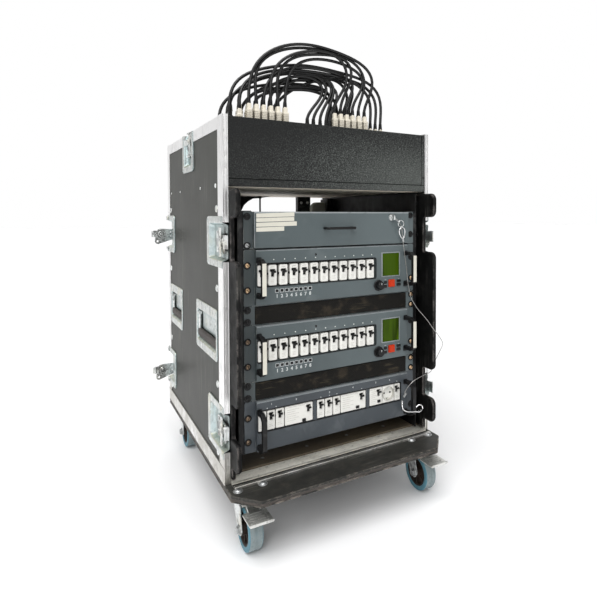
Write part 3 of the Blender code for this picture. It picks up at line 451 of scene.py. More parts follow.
    f = Finish("wire", (0.6, 0.59, 0.57), 0.3, 1.0)
    f.tint(f.ramp(f.noise(1400, 2, 0.5, (1, 1, 0.35)), 0.5, 0.62), (0.22, 0.21, 0.2), 0.7)
    f.relief(f.noise(1400, 2, 0.5, (1, 1, 0.35)), 0.15)
    F["wire"] = f.done()

    f = Finish("tyre", srgb(80, 130, 146), 0.5)
    f.cloudy(30, 0.12).tint(f.ramp(f.noise(60, 5), 0.5, 0.75), srgb(112, 120, 118), 0.5).relief(f.noise(500, 3), 0.06)
    F["tyre"] = f.done()

    f = Finish("tread", srgb(134, 146, 148), 0.66)
    f.cloudy(40, 0.14).tint(f.ramp(f.noise(90, 5), 0.52, 0.75), srgb(70, 76, 76), 0.6).tint(f.ramp(f.noise(26, 4), 0.55, 0.8), srgb(86, 132, 146), 0.6)
    f.relief(f.noise(450, 3), 0.12)
    F["tread"] = f.done()

    f = Finish("hub", srgb(46, 38, 33), 0.55, spec=0.22)
    f.cloudy(35, 0.25).tint(f.ramp(f.noise(70, 4), 0.55, 0.75), srgb(92, 80, 70), 0.4).relief(f.noise(400, 3), 0.08)
    F["hub"] = f.done()

    f = Finish("grip", srgb(58, 52, 48), 0.55)
    f.cloudy(25, 0.2).tint(f.ramp(f.noise(300, 3), 0.6, 0.75), srgb(96, 90, 84), 0.4).relief(f.noise(500, 3), 0.1)
    F["grip"] = f.done()

    f = Finish("tape", srgb(212, 209, 196), 0.5)
    f.cloudy(35, 0.04).tint(f.ramp(f.noise(140, 5), 0.6, 0.8), srgb(188, 184, 170), 0.35).relief(f.noise(90, 3), 0.12)
    F["tape"] = f.done()

    f = Finish("brass", (0.72, 0.5, 0.3), 0.34, 1.0)
    f.tint(f.ramp(f.noise(260, 4), 0.5, 0.7), (0.3, 0.2, 0.13), 0.7).polish(f.noise(200, 3), 0.55)
    F["brass"] = f.done()

    f = Finish("bronze", (0.26, 0.19, 0.13), 0.36, 1.0)
    f.tint(f.ramp(f.noise(260, 4), 0.5, 0.7), (0.08, 0.06, 0.05), 0.7).polish(f.noise(200, 3), 0.55)
    F["bronze"] = f.done()

    f = Finish("screw_black", srgb(26, 26, 27), 0.34, 0.6)
    f.tint(f.ramp(f.noise(300, 4), 0.58, 0.75), srgb(120, 120, 118), 0.6)
    F["screw_black"] = f.done()

    f = Finish("print_pale", srgb(206, 210, 210), 0.5)
    f.cloudy(80, 0.05)
    F["print_pale"] = f.done()

    f = Finish("print_dark", srgb(70, 70, 68), 0.5)
    f.cloudy(80, 0.1)
    F["print_dark"] = f.done()

    f = Finish("lamp", srgb(214, 220, 214), 0.18, coat=0.5)
    f.cloudy(120, 0.1)
    F["lamp"] = f.done()

    f = Finish("grey_box", srgb(150, 150, 140), 0.5)
    f.cloudy(20, 0.08).relief(f.noise(400, 3), 0.05)
    F["grey_box"] = f.done()
    return F


FINISH = make_finishes()


# ================================================================ shapes
def rounded(points, radii, steps=4):
    """The outline with its corners rounded."""
    if not isinstance(radii, (list, tuple)):
        radii = [radii] * len(points)
    out = []
    n = len(points)
    for i, (p, r) in enumerate(zip(points, radii)):
        if r <= 0:
            out.append(tuple(p))
            continue
        p = Vector(p)
        a = (Vector(points[i - 1]) - p).normalized()
        b = (Vector(points[(i + 1) % n]) - p).normalized()
        half = a.angle(b) / 2
        centre = p + (a + b).normalized() * (r / math.sin(half))
        start = p + a * (r / math.tan(half)) - centre
        end = p + b * (r / math.tan(half)) - centre
        a0 = math.atan2(start.y, start.x)
        sweep = (math.atan2(end.y, end.x) - a0 + math.pi) % (2 * math.pi) - math.pi
        for k in range(steps + 1):
            t = a0 + sweep * k / steps
            out.append((centre.x + r * math.cos(t), centre.y + r * math.sin(t)))
    return out


def rect(a, b, radius=0.0, steps=4):
    points = [(a[0], b[0]), (a[1], b[0]), (a[1], b[1]), (a[0], b[1])]
    return rounded(points, radius, steps) if radius else points


def ring_points(n, r, cx=0.0, cy=0.0, turn=0.0):
    return [(cx + r * math.cos(turn + 2 * math.pi * k / n), cy + r * math.sin(turn + 2 * math.pi * k / n)) for k in range(n)]


AXES = (
    lambda p, h: Vector((h, p[0], p[1])),
    lambda p, h: Vector((p[0], h, p[1])),
    lambda p, h: Vector((p[0], p[1], h)),
)


def offset(outline, d):
    """The closed outline moved inwards by d."""
    pts = [Vector(p) for p in outline]
    n = len(pts)
    area = sum(pts[i].x * pts[(i + 1) % n].y - pts[(i + 1) % n].x * pts[i].y for i in range(n))
    s = 1.0 if area > 0 else -1.0
    out = []
    for i, p in enumerate(pts):
        a = (p - pts[i - 1]).normalized()
        b = (pts[(i + 1) % n] - p).normalized()
        na, nb = Vector((-a.y, a.x)) * s, Vector((-b.y, b.x)) * s
        m = (na + nb) / max(0.3, 1.0 + na.dot(nb))
        out.append(tuple(p + m * d))
    return out


def axes(origin, a, b, c):
    """The matrix that carries local x, y and z onto a, b and c, from origin."""
    return Matrix(
        (
            (a[0], b[0], c[0], origin[0]),
            (a[1], b[1], c[1], origin[1]),
            (a[2], b[2], c[2], origin[2]),
            (0.0, 0.0, 0.0, 1.0),
        )
    )


class Piece:
    """One visible piece, gathered in millimetres."""

    def __init__(self, name, finish, body="case", nodes=(), slot=None, angle=32, mirror=False, at=None):
        self.name, self.finish, self.body, self.nodes = name, finish, body, nodes
        self.slot, self.angle, self.flip, self.at = slot, angle, mirror, at
        self.bm = bmesh.new()

    def _take(self, part, bevel=0.0, seg=2, at=None):
        bmesh.ops.recalc_face_normals(part, faces=part.faces)
        if part.calc_volume(signed=True) < 0:
            bmesh.ops.reverse_faces(part, faces=part.faces)
        if bevel > 0:
            sharp = [e for e in part.edges if len(e.link_faces) == 2 and e.calc_face_angle(0) > math.radians(28)]
            if sharp:
                bmesh.ops.bevel(part, geom=sharp, offset=bevel, offset_type="OFFSET", segments=seg, profile=0.5, affect="EDGES", clamp_overlap=True)
        if at is not None:
            bmesh.ops.transform(part, matrix=at, verts=part.verts)
            if at.determinant() < 0:
                bmesh.ops.reverse_faces(part, faces=part.faces)
        mesh = bpy.data.meshes.new("part")
        part.to_mesh(mesh)
        part.free()
        self.bm.from_mesh(mesh)
        bpy.data.meshes.remove(mesh)
        return self

    def box(self, x, y, z, bevel=0.5, seg=2, at=None):
        part = bmesh.new()
        bmesh.ops.create_cube(part, size=1.0)
        for v in part.verts:
            v.co = Vector(tuple(min(r) + (c + 0.5) * (max(r) - min(r)) for c, r in zip(v.co, (x, y, z))))
        return self._take(part, bevel, seg, at)

    def prism(self, outline, axis, lo, hi, bevel=0.5, seg=2, at=None):
        part = bmesh.new()
        place = AXES[axis]
        face = part.faces.new([part.verts.new(place(p, lo)) for p in outline])
        pushed = bmesh.ops.extrude_face_region(part, geom=[face])
        bmesh.ops.translate(part, vec=place((0, 0), hi - lo), verts=[v for v in pushed["geom"] if isinstance(v, bmesh.types.BMVert)])
        return self._take(part, bevel, seg, at)

    def loft(self, rings, axis, at=None, bevel=0.0):
        """Rings are (outline, height); the first and last are capped."""
        part = bmesh.new()
        place = AXES[axis]
        rows = [[part.verts.new(place(p, h)) for p in outline] for outline, h in rings]
        n = len(rows[0])
        for a, b in zip(rows, rows[1:]):
            for k in range(n):
                part.faces.new((a[k], a[(k + 1) % n], b[(k + 1) % n], b[k]))
        part.faces.new(rows[0][::-1])
        part.faces.new(rows[-1])
        return self._take(part, bevel, 2, at)

    def pillow(self, outline, axis, lo, hi, radius=1.0, steps=3, at=None, ends=(True, True)):
        """A slab whose rims are rounded at both faces, or at one."""
        lo, hi = min(lo, hi), max(lo, hi)
        turn = [math.pi / 2 * k / steps for k in range(steps + 1)]
        rings = []
        if ends[0]:
            rings += [(offset(outline, radius * (1 - math.sin(t))), lo + radius * (1 - math.cos(t))) for t in turn]
        else:
            rings.append((outline, lo))
        if ends[1]:
            rings += [(offset(outline, radius * (1 - math.sin(t))), hi - radius * (1 - math.cos(t))) for t in reversed(turn)]
        else:
            rings.append((outline, hi))
        return self.loft(rings, axis, at)

    def sheet(self, rings, axis, thickness, closed=True, at=None, back=False):
        """Pressed sheet: rings from the outer rim to the floor, which is filled in; thickness goes in behind it."""
        part = bmesh.new()
        place = AXES[axis]
        rows = [[part.verts.new(place(p, h)) for p in outline] for outline, h in rings]
        n = len(rows[0])
        for a, b in zip(rows, rows[1:]):
            for k in range(n if closed else n - 1):
                part.faces.new((a[k], a[(k + 1) % n], b[(k + 1) % n], b[k]))
        part.faces.new(rows[-1])
        bmesh.ops.recalc_face_normals(part, faces=part.faces)
        part.faces.ensure_lookup_table()
        up = place((0, 0), 1.0) - place((0, 0), 0.0)
        looks_out = part.faces[-1].normal.dot(up) > 0
        if looks_out == back:
            bmesh.ops.reverse_faces(part, faces=part.faces)
        bmesh.ops.solidify(part, geom=list(part.faces), thickness=thickness)
        return self._take(part, 0, 2, at)

    def dome(self, centre, axis, base, radius, height, steps=20):
        """A round head on a face; height is negative where the head looks down the axis."""
        rows = [(radius, base), (radius, base + height * 0.25), (radius * 0.92, base + height * 0.52), (radius * 0.7, base + height * 0.8), (radius * 0.38, base + height * 0.96), (0.0, base + height)]
        return self.lathe(rows, centre, axis, steps)

    def lathe(self, profile, centre, axis, steps=32, at=None, ring=False):
        """Profile is (radius, height along the axis); radius 0 closes it. A ring's profile goes all the way round."""
        part = bmesh.new()
        place = AXES[axis]
        rows = []
        for r, h in profile:
            if r < 1e-6:
                rows.append([part.verts.new(place(centre, h))])
            else:
                rows.append([part.verts.new(place(p, h)) for p in ring_points(steps, r, *centre)])
        for a, b in zip(rows, rows[1:] + rows[:1] if ring else rows[1:]):
            for k in range(steps):
                j = (k + 1) % steps
                if len(a) == 1 and len(b) == 1:
                    continue
                if len(a) == 1:
                    part.faces.new((a[0], b[j], b[k]))
                elif len(b) == 1:
                    part.faces.new((a[k], a[j], b[0]))
                else:
                    part.faces.new((a[k], a[j], b[j], b[k]))
        for row, turned in ((rows[0], True), (rows[-1], False)):
            if len(row) > 1 and not ring:
                part.faces.new(row[::-1] if turned else row)
        return self._take(part, 0, 2, at)

    def tube(self, points, radius, sides=10, at=None, closed=False):
        part = bmesh.new()
        pts = [Vector(p) for p in points]
        n = len(pts)
        up = None
        rows = []
        for i, p in enumerate(pts):
            if closed:
                t = (pts[(i + 1) % n] - pts[i - 1]).normalized()
            else:
                t = (pts[min(i + 1, n - 1)] - pts[max(i - 1, 0)]).normalized()
            if up is None:
                up = t.orthogonal().normalized()
            up = (up - t * up.dot(t)).normalized()
            side = t.cross(up)
            rows.append([part.verts.new(p + (up * math.cos(a) + side * math.sin(a)) * radius) for a in (2 * math.pi * k / sides for k in range(sides))])
        pairs = list(zip(rows, rows[1:])) + ([(rows[-1], rows[0])] if closed else [])
        for a, b in pairs:
            for k in range(sides):
                part.faces.new((a[k], a[(k + 1) % sides], b[(k + 1) % sides], b[k]))
        if not closed:
            part.faces.new(rows[0][::-1])
            part.faces.new(rows[-1])
        return self._take(part, 0, 2, at)

    def text(self, words, size, x, y, z):
        """Plain numbers standing on a face that looks to the front."""
        curve = bpy.data.curves.new("t", "FONT")
        curve.body = words
        curve.size = size
        curve.align_x = "CENTER"
        curve.align_y = "CENTER"
        curve.extrude = 0.08
        curve.offset = size * 0.022
        curve.resolution_u = 2
        obj = bpy.data.objects.new("t", curve)
        bpy.context.scene.collection.objects.link(obj)
        graph = bpy.context.evaluated_depsgraph_get()
        mesh = bpy.data.meshes.new_from_object(obj.evaluated_get(graph))
        mesh.transform(Matrix.Translation((x, y, z)) @ Matrix.Rotation(math.pi / 2, 4, "X"))
        self.bm.from_mesh(mesh)
        bpy.data.objects.remove(obj)
        bpy.data.meshes.remove(mesh)
        return self

    def cut(self, *tools):
        """Takes other pieces out of this one."""
        return self._combine("DIFFERENCE", tools)

    def join(self, *tools):
        """Makes one body of this piece and others."""
        return self._combine("UNION", tools)

    def _combine(self, operation, tools):
        base = self._object("base", self.bm)
        others = []
        for tool in tools:
            others.append(self._object("tool", tool.bm))
        for other in others:
            m = base.modifiers.new("cut", "BOOLEAN")
            m.operation = operation
            m.solver = "EXACT"
            m.object = other
        graph = bpy.context.evaluated_depsgraph_get()
        mesh = bpy.data.meshes.new_from_object(base.evaluated_get(graph))
        self.bm = bmesh.new()
        self.bm.from_mesh(mesh)
        for o in others + [base]:
            data = o.data
            bpy.data.objects.remove(o)
            bpy.data.meshes.remove(data)
        bpy.data.meshes.remove(mesh)
        return self

    def add(self, other):
        """Gathers another piece's mesh into this one."""
        mesh = bpy.data.meshes.new("part")
        other.bm.to_mesh(mesh)
        other.bm.free()
        self.bm.from_mesh(mesh)
        bpy.data.meshes.remove(mesh)
        return self

    def soften(self, width, seg=2, angle=50):
        """Bevels the sharp edges of what has been gathered so far."""
        bmesh.ops.remove_doubles(self.bm, verts=self.bm.verts, dist=0.001)
        sharp = [e for e in self.bm.edges if len(e.link_faces) == 2 and e.calc_face_angle(0) > math.radians(angle)]
        bmesh.ops.bevel(self.bm, geom=sharp, offset=width, offset_type="OFFSET", segments=seg, profile=0.5, affect="EDGES", clamp_overlap=True)
        return self

    @staticmethod
    def _object(name, bm):
        mesh = bpy.data.meshes.new(name)
        bm.to_mesh(mesh)
        bm.free()
        obj = bpy.data.objects.new(name, mesh)
        bpy.context.scene.collection.objects.link(obj)
        return obj

    def _finished(self, name, bm):
        bmesh.ops.scale(bm, vec=(MM, MM, MM), verts=bm.verts)
        obj = self._object(name, bm)
        obj.data.materials.append(FINISH[self.finish])
        obj.data.shade_smooth()
        obj.data.set_sharp_from_angle(angle=math.radians(self.angle))
        m = obj.modifiers.new("normals", "WEIGHTED_NORMAL")
        m.keep_sharp = True
        m.weight = 60
        return obj

    def make(self, name):
        """Makes the object with no body of its own, for one that bends between two."""
        return self._finished(name, self.bm)

    def place(self, name=None, body=None, nodes=None, mirror=False, keep=False):
        """Makes the object, and the same one for the other side if mirror is set."""
        name = name or self.name
        body = body or self.body
        nodes = self.nodes if nodes is None else nodes
        bm = self.bm.copy()
        if self.at is not None:
            bmesh.ops.transform(bm, matrix=self.at, verts=bm.verts)
            if self.at.determinant() < 0:
                bmesh.ops.reverse_faces(bm, faces=bm.faces)
        if mirror:
            bmesh.ops.scale(bm, vec=(-1, 1, 1), verts=bm.verts)
            bmesh.ops.reverse_faces(bm, faces=bm.faces)
        obj = self._finished(name, bm)
        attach(obj, body)
        if nodes:
            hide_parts(*nodes)
        if not keep:
            self.bm.free()
        return obj

    def both(self):
        """Places it on the left and its mirror image on the right."""
        left = self.place(self.name + "_left", self.body.replace("SIDE", "left"), [n.replace("SIDE", "left") for n in self.nodes], keep=True)
        right = self.place(self.name + "_right", self.body.replace("SIDE", "right"), [n.replace("SIDE", "right") for n in self.nodes], mirror=True)
        return left, right


def smooth_route(points, count):
    """Points evenly read from a smooth curve through the given ones."""
    p = [Vector(q) for q in points]
    ends = [p[0] * 2 - p[1]] + p + [p[-1] * 2 - p[-2]]
    fine = []
    for i in range(1, len(ends) - 2):
        a, b, c, d = ends[i - 1 : i + 3]
        ta = 0.0
        tb = ta + max((b - a).length, 1e-6) ** 0.5
        tc = tb + max((c - b).length, 1e-6) ** 0.5
        td = tc + max((d - c).length, 1e-6) ** 0.5
        for k in range(24):
            t = tb + (tc - tb) * k / 24
            a1 = a * ((tb - t) / (tb - ta)) + b * ((t - ta) / (tb - ta))
            a2 = b * ((tc - t) / (tc - tb)) + c * ((t - tb) / (tc - tb))
            a3 = c * ((td - t) / (td - tc)) + d * ((t - tc) / (td - tc))
            b1 = a1 * ((tc - t) / (tc - ta)) + a2 * ((t - ta) / (tc - ta))
            b2 = a2 * ((td - t) / (td - tb)) + a3 * ((t - tb) / (td - tb))
            fine.append(b1 * ((tc - t) / (tc - tb)) + b2 * ((t - tb) / (tc - tb)))
    fine.append(p[-1])
    far = [0.0]
    for a, b in zip(fine, fine[1:]):
        far.append(far[-1] + (b - a).length)
    out, j = [], 0
    for k in range(count):
        want = far[-1] * k / (count - 1)
        while j < len(far) - 2 and far[j + 1] < want:
            j += 1
        t = (want - far[j]) / max(far[j + 1] - far[j], 1e-9)
        out.append(fine[j].lerp(fine[j + 1], min(1.0, t)))
    return out


# ================================================================ patch cables
PATCH_Y = -229.5
PLUG_TOP = 1021.5
LEFT_PLUGS = (-236.6, -213.6, -195.4, -177.2, -159.0, -140.8, -122.0)
RIGHT_PLUGS = (14.8, 33.0, 51.2, 69.4, 87.6, 105.8)
BACK_LEFT = (-226.0, -204.5, -186.3, -168.1, -149.9, -131.7, -244.5)
BACK_RIGHT = (24.0, 42.2, 60.4, 78.6)
BACK_Y = PATCH_Y + 34.0
CABLE_D = 7.8
cable_no = [0]


def tightest(route):
    """The smallest bending radius along a route."""
    least = 1e9
    for a, b, c in zip(route, route[1:], route[2:]):
        twice_area = (b - a).cross(c - a).length
        if twice_area > 1e-6:
            least = min(least, (b - a).length * (c - b).length * (c - a).length / (2 * twice_area))
    return least


def eased(route, least):
    """The route as a stiff cable takes it: its tight corners open, both ends stay and keep their direction."""
    q = [p.copy() for p in route]
    for k in range(1600):
        if k >= 240 and k % 40 == 0 and tightest(q) >= least:
            break
        pull = [q[i - 2] - q[i - 1] * 4 + q[i] * 6 - q[i + 1] * 4 + q[i + 2] for i in range(2, len(q) - 2)]
        for i, f in enumerate(pull):
            q[i + 2] = q[i + 2] - f * 0.06
    return q


def jumper(start, points, end, shift=(0.0, 0.0), replaced=()):
    """One jumper cable. start and end are places in millimetres; between them the way is given as seen from the front.
    shift is how far behind the front row its middle runs, at the start and at the end."""
    cable_no[0] += 1
    name = f"jumper_{cable_no[0]:02d}"
    n = len(points)
    way = [Vector(start), Vector(start) + Vector((0, 0, 16))]
    for k, (u, v) in enumerate(points):
        t = (k + 1) / (n + 1)
        rise = math.sin(math.pi * t)
        y0 = start[1] * (1 - t) + end[1] * t
        y = y0 + (shift[0] * (1 - t) + shift[1] * t) * rise
        way.append(seen(u, v, y))
    way += [Vector(end) + Vector((0, 0, 16)), Vector(end)]
    route = eased(smooth_route(way, 40), 4.1 * CABLE_D)
    curve = bpy.data.curves.new(name, "CURVE")
    curve.dimensions = "3D"
    curve.bevel_depth = CABLE_D / 2 * MM
    curve.bevel_resolution = 3
    curve.use_fill_caps = True
    spline = curve.splines.new("POLY")
    spline.points.add(len(route) - 1)
    for point, q in zip(spline.points, route):
        point.co = (*(q * MM), 1.0)
    spline.use_smooth = True
    curve.materials.append(FINISH["cable"])
    obj = bpy.data.objects.new(name, curve)
    bpy.context.scene.collection.objects.link(obj)
    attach(obj, "case")
    if replaced:
        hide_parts(*replaced)
    return obj


def at_plug(xs, k, row, drop=0.0):
    return (xs[k], row, PLUG_TOP - 2.0 - drop)


FRONT_ROW = PATCH_Y
JUMPERS = [
    # highest pair
    (at_plug(LEFT_PLUGS, 1, FRONT_ROW), [(248.6, 92), (248.2, 83), (250.2, 74), (255, 65.2), (261, 58.3), (269.7, 51.6), (280, 47), (292.2, 44.6), (306.2, 44.6), (320.2, 46.6), (334.6, 52.2), (345.1, 56.7), (355.6, 61.2), (364.7, 66.3), (371, 73.1), (374.2, 80.5), (374.2, 88.5), (371, 96.5), (366.6, 106)], at_plug(RIGHT_PLUGS, 5, FRONT_ROW), (0, 0)),
    (at_plug(LEFT_PLUGS, 2, FRONT_ROW), [(255.3, 93.5), (253.9, 83.6), (253.4, 74.5), (256, 67.5), (262, 60.6), (271.1, 54.3), (281.6, 50.1), (295.7, 48.1), (312.5, 48.6), (327.5, 52), (338.1, 55.6), (350, 60.5), (359.1, 66.1), (363, 73.1), (364.6, 80.1), (365.6, 87.5), (364, 95.5), (360.8, 104.6)], at_plug(RIGHT_PLUGS, 4, FRONT_ROW), (8, 8)),
    (at_plug(LEFT_PLUGS, 4, FRONT_ROW), [(270, 98), (269.6, 89), (270.4, 80.1), (273.2, 71), (279.5, 62.6), (288.7, 56.2), (299.2, 52.8), (313.2, 51.6), (326, 52.6), (335, 55.6), (342, 60.5), (346, 67), (347, 74), (346.5, 81.5), (344.2, 89.9), (340, 98.3), (336.3, 106)], at_plug(RIGHT_PLUGS, 0, FRONT_ROW), (-6, -10)),
    (at_plug(LEFT_PLUGS, 5, FRONT_ROW), [(276.5, 98), (276.3, 88), (277.3, 77.3), (280, 69.4), (285.6, 62.4), (293.6, 57.4), (306.2, 54.9), (320.2, 55.4), (333, 56.2), (343, 58), (349.4, 62.4), (352, 69), (352.4, 76), (349.8, 84), (344.6, 93.4), (340.4, 102)], at_plug(RIGHT_PLUGS, 1, FRONT_ROW), (2, -2)),
    (at_plug(LEFT_PLUGS, 6, FRONT_ROW), [(284, 98), (284.2, 89.5), (286.2, 80.8), (289.2, 72.6), (293.6, 65.4), (299.4, 59.8), (306.2, 57.4), (314.6, 58.8), (325, 62.6), (338.1, 65.2), (350, 66.6), (358, 69.4), (363.2, 74), (366.4, 81), (368, 89), (366, 97), (360.4, 104.6), (355, 110)], at_plug(RIGHT_PLUGS, 3, FRONT_ROW), (14, 4)),
    # middle bundle
    (at_plug(LEFT_PLUGS, 3, FRONT_ROW), [(262.6, 99), (263.6, 90.4), (266.6, 81), (272.5, 73.5), (281.6, 69.6), (293, 68.4), (306.2, 68.2), (320.2, 70.2), (334, 74), (346, 77.6), (355, 82), (360.6, 88.6), (357.6, 96), (351.6, 104)], at_plug(RIGHT_PLUGS, 2, FRONT_ROW), (18, 10)),
    ((-256.0, BACK_Y - 20, 1000.0), [(228.2, 104), (228.6, 96), (230.8, 87.4), (235.3, 80.1), (242.4, 75.4), (250.1, 72.9), (260.6, 69.8), (274.6, 66.8), (292.2, 65.3), (306.2, 65.4), (320.2, 67.6), (331, 70.9), (345.1, 75.2), (359.1, 79.2), (370.3, 83.8), (377.3, 90), (380.9, 97), (381.7, 105), (380.8, 115)], (157.5, FRONT_ROW, 990.0), (30, 10)),
    ((-236.6, FRONT_ROW, PLUG_TOP - 17.0), [(238.3, 101.5), (239.4, 93), (242.2, 85.9), (247.5, 79.4), (255, 75.2), (265, 72.2), (278.1, 70.6), (295.7, 70.6), (313.2, 72), (325, 73.8), (338.1, 77.4), (352.1, 82.6), (362.6, 89), (369, 95.6), (371.2, 103), (371, 112)], (125.0, FRONT_ROW, 990.0), (34, 8)),
    ((BACK_LEFT[0], BACK_Y, PLUG_TOP - 2), [(250.6, 98), (252.2, 90), (256.6, 82), (263.4, 77), (275, 73.4), (292, 72.6), (308, 73.6), (324, 76.2), (338, 79.4), (350, 84.6), (357.4, 91.4), (361.8, 99), (361.6, 107)], (BACK_RIGHT[3], BACK_Y, PLUG_TOP - 2), (10, 6)),
    ((BACK_LEFT[5], BACK_Y, PLUG_TOP - 2), [(280.4, 96), (283.4, 88), (288.4, 83), (295.7, 80.2), (309.7, 78.9), (325, 79.2), (336, 80.6), (342.6, 84), (345, 90), (346, 98), (349.6, 105)], (BACK_RIGHT[2], BACK_Y, PLUG_TOP - 2), (0, 0)),
    # low bundle
    ((-262.0, BACK_Y + 40, 990.0), [(222.6, 106), (224.6, 101.4), (229.6, 96.8), (238.2, 91.6), (248, 88), (260, 86), (276, 85.2), (292.2, 84.7), (306.2, 84.9), (320.2, 87.3), (330, 91.4), (336, 97.6), (338.6, 105)], (BACK_RIGHT[0], BACK_Y, PLUG_TOP - 2), (16, 0)),
    ((BACK_LEFT[1], BACK_Y, PLUG_TOP - 2), [(256.6, 99), (260.6, 93), (267, 89.6), (278, 88), (292, 87.4), (306, 87.8), (318, 89.6), (328, 93.4), (335, 99), (340.4, 106)], (BACK_RIGHT[1], BACK_Y, PLUG_TOP - 2), (8, 4)),
    ((BACK_LEFT[2], BACK_Y, PLUG_TOP - 2), [(263.6, 100), (268, 95), (275, 92), (286, 90.5), (300, 90.2), (312, 91.2), (322, 94), (330, 99), (333.6, 106)], (6.0, BACK_Y - 12, 975.0), (14, 2)),
    # five that lean over to the right and drop in front
    ((BACK_LEFT[3], BACK_Y, PLUG_TOP - 2), [(268.4, 98), (270, 90), (275, 82.6), (284, 78.4), (296, 77.2), (308, 77.8), (318, 79.8), (323.8, 83.6), (325.2, 89), (322.8, 96.6), (317, 106), (311.4, 114.5)], (-62.0, FRONT_ROW, 985.0), (8, 0)),
    ((BACK_LEFT[4], BACK_Y, PLUG_TOP - 2), [(274.6, 98), (277, 89), (283, 81), (292, 76.4), (304, 75.4), (316, 76.8), (324.6, 79.6), (328.4, 84.6), (328.6, 91), (325.4, 99), (320.4, 107), (316.3, 114.5)], (-45.0, FRONT_ROW, 985.0), (14, 4)),
    ((BACK_LEFT[6], BACK_Y + 10, PLUG_TOP - 14), [(243, 101), (244, 93), (248, 86), (256, 80), (268, 76), (284, 74.6), (302, 75), (320, 77), (331, 79.6), (335.4, 84), (336, 91), (334.4, 98), (330.4, 106.4), (325, 113)], (-26.0, FRONT_ROW, 985.0), (22, 8)),
    ((-249.0, BACK_Y + 20, PLUG_TOP - 30), [(234.6, 104), (235.4, 96), (239, 89), (247, 82.4), (258, 78), (272, 75), (290, 73.8), (310, 75), (326, 77.4), (335, 80.4), (338.4, 86), (338.4, 93), (335.8, 101), (331, 109)], (-9.0, FRONT_ROW, 985.0), (26, 12)),
    ((-215.0, BACK_Y + 24, PLUG_TOP - 30), [(255, 100), (257, 93), (262, 87), (271, 83.6), (286, 81.6), (304, 81.6), (322, 83), (336, 86.6), (342, 92), (341.4, 99), (337, 106), (333, 112)], (4.0, FRONT_ROW + 4, 985.0), (10, 10)),
    # thin lead between the two behind
    ((-140.0, BACK_Y + 16, PLUG_TOP - 28), [(280, 101), (286, 94), (294, 89), (306, 84), (322, 80), (338, 79), (352, 81.4), (364, 86.6), (371, 92.4), (375, 100), (376, 111)], (141.0, FRONT_ROW, 990.0), (12, 4)),
]
for k, (start, points, end, shift) in enumerate(JUMPERS):
    jumper(start, points, end, shift, {0: ("patch_cables_high",), 11: ("patch_cables_low",)}.get(k, ()))

# ================================================================ case sides
AXIS_X = 284.2
FRONT_Y, REAR_Y = -274.5, 377.5
LATCH_Z = (695.0, 261.0)
HANDLE_Y = ((-219.5, -14.5), (166.5, 338.9))
UP, BACK, OUT_LEFT = Vector((0, 0, 1)), Vector((0, 1, 0)), Vector((-1, 0, 0))

board = Piece("side_board", "laminate", nodes=("side_panel_SIDE",))
board.box((-288.0, -279.3), (-272.2, 375.2), (145.6, 980.7), 0)
holes = Piece("holes", "laminate")
for c in LATCH_Z:
    for y in ((-290.0, -158.3), (285.0, 390.0)):
        holes.box((-295, -270), y, (c - 43.3, c + 43.3), 0)
holes.box((-295, -270), (23.5, 117.5), (890.8, 990), 0)
for y0, y1 in HANDLE_Y:
    holes.box((-295, -270), (y0 + 9, y1 - 9), (429.0, 510.0), 0)
board.cut(holes).both()

FRONT_SECTION = [
    (-288.3, -236.5), (-289.9, -236.5), (-290.3, -236.9), (-290.3, -272.2), (-290.0, -274.6), (-288.9, -275.4), (-287.8, -274.9),
    (-287.4, -273.2), (-284.9, -273.2), (-284.6, -275.1), (-279.9, -275.1), (-279.7, -274.1), (-278.9, -274.1), (-278.7, -275.6),
    (-277.0, -275.9), (-276.7, -275.2), (-276.7, -272.4), (-288.3, -272.4),
]
REAR_SECTION = [(x, 103.0 - y + (7.0 if y > -240 else 0.0)) for x, y in FRONT_SECTION]
edging = Piece("edging_posts", "aluminium", nodes=("edge_frame_SIDE",), angle=24)
for lo, hi in ((143.3, 216.0), (306.0, 650.0), (740.0, 983.0)):
    edging.prism(FRONT_SECTION, 2, lo, hi, 0)
    edging.prism(REAR_SECTION, 2, lo, hi, 0)
edging.both()
bands = Piece("edging_bands", "aluminium", angle=24)
bands.prism([(-290.6, 143.3), (-290.6, 176.6), (-291.2, 177.6), (-291.2, 180.0), (-290.6, 180.6), (-288.3, 180.6), (-288.3, 145.4), (-276.7, 145.4), (-276.7, 143.3)], 1, -274.3, 377.3, 0)
for lo, hi in ((-272.0, 25.2), (115.8, 377.0)):
    bands.prism([(-290.0, 953.2), (-290.2, 953.4), (-290.2, 981.4), (-288.7, 983.1), (-276.7, 983.1), (-276.7, 981.0), (-288.3, 981.0), (-288.3, 953.2)], 1, lo, hi, 0)
bands.both()


def u_line(reach, half, radius, steps=5):
    """A line that starts at the case edge, runs in, along and back out to the edge, with two round corners."""
    return rounded([(0.0, -half), (reach, -half), (reach, half), (0.0, half)], [0, radius, radius, 0], steps)


def latch_dish(tag, m, deep, half, inner):
    s = half - 17.0
    dish = Piece(f"latch_dish_{tag}", "dish", angle=38)
    dish.sheet(
        [
            (u_line(deep, half, 14), 288.1), (u_line(deep, half, 14), 290.3), (u_line(deep - 0.5, half - 0.5, 13.5), 291.3),
            (u_line(deep - 1.6, half - 1.6, 12.4), 291.8), (u_line(inner + 2.6, s + 2.6, 11), 291.8), (u_line(inner + 1.0, s + 1.0, 10), 291.2),
            (u_line(inner, s, 9), 289.6), (u_line(inner - 6.4, s - 3.4, 8), 280.4), (u_line(inner - 7.6, s - 4.2, 7), 279.0), (u_line(inner - 9.6, s - 6.2, 6), 278.4),
        ],
        2, 1.2, closed=False,
    )
    for a in (10.0, deep - 8.0):
        for b in (8.5 - half, half - 8.5):
            dish.dome((a, b), 2, 291.6, 3.6, 1.6, 14)
    dish.at = m
    dish.both()


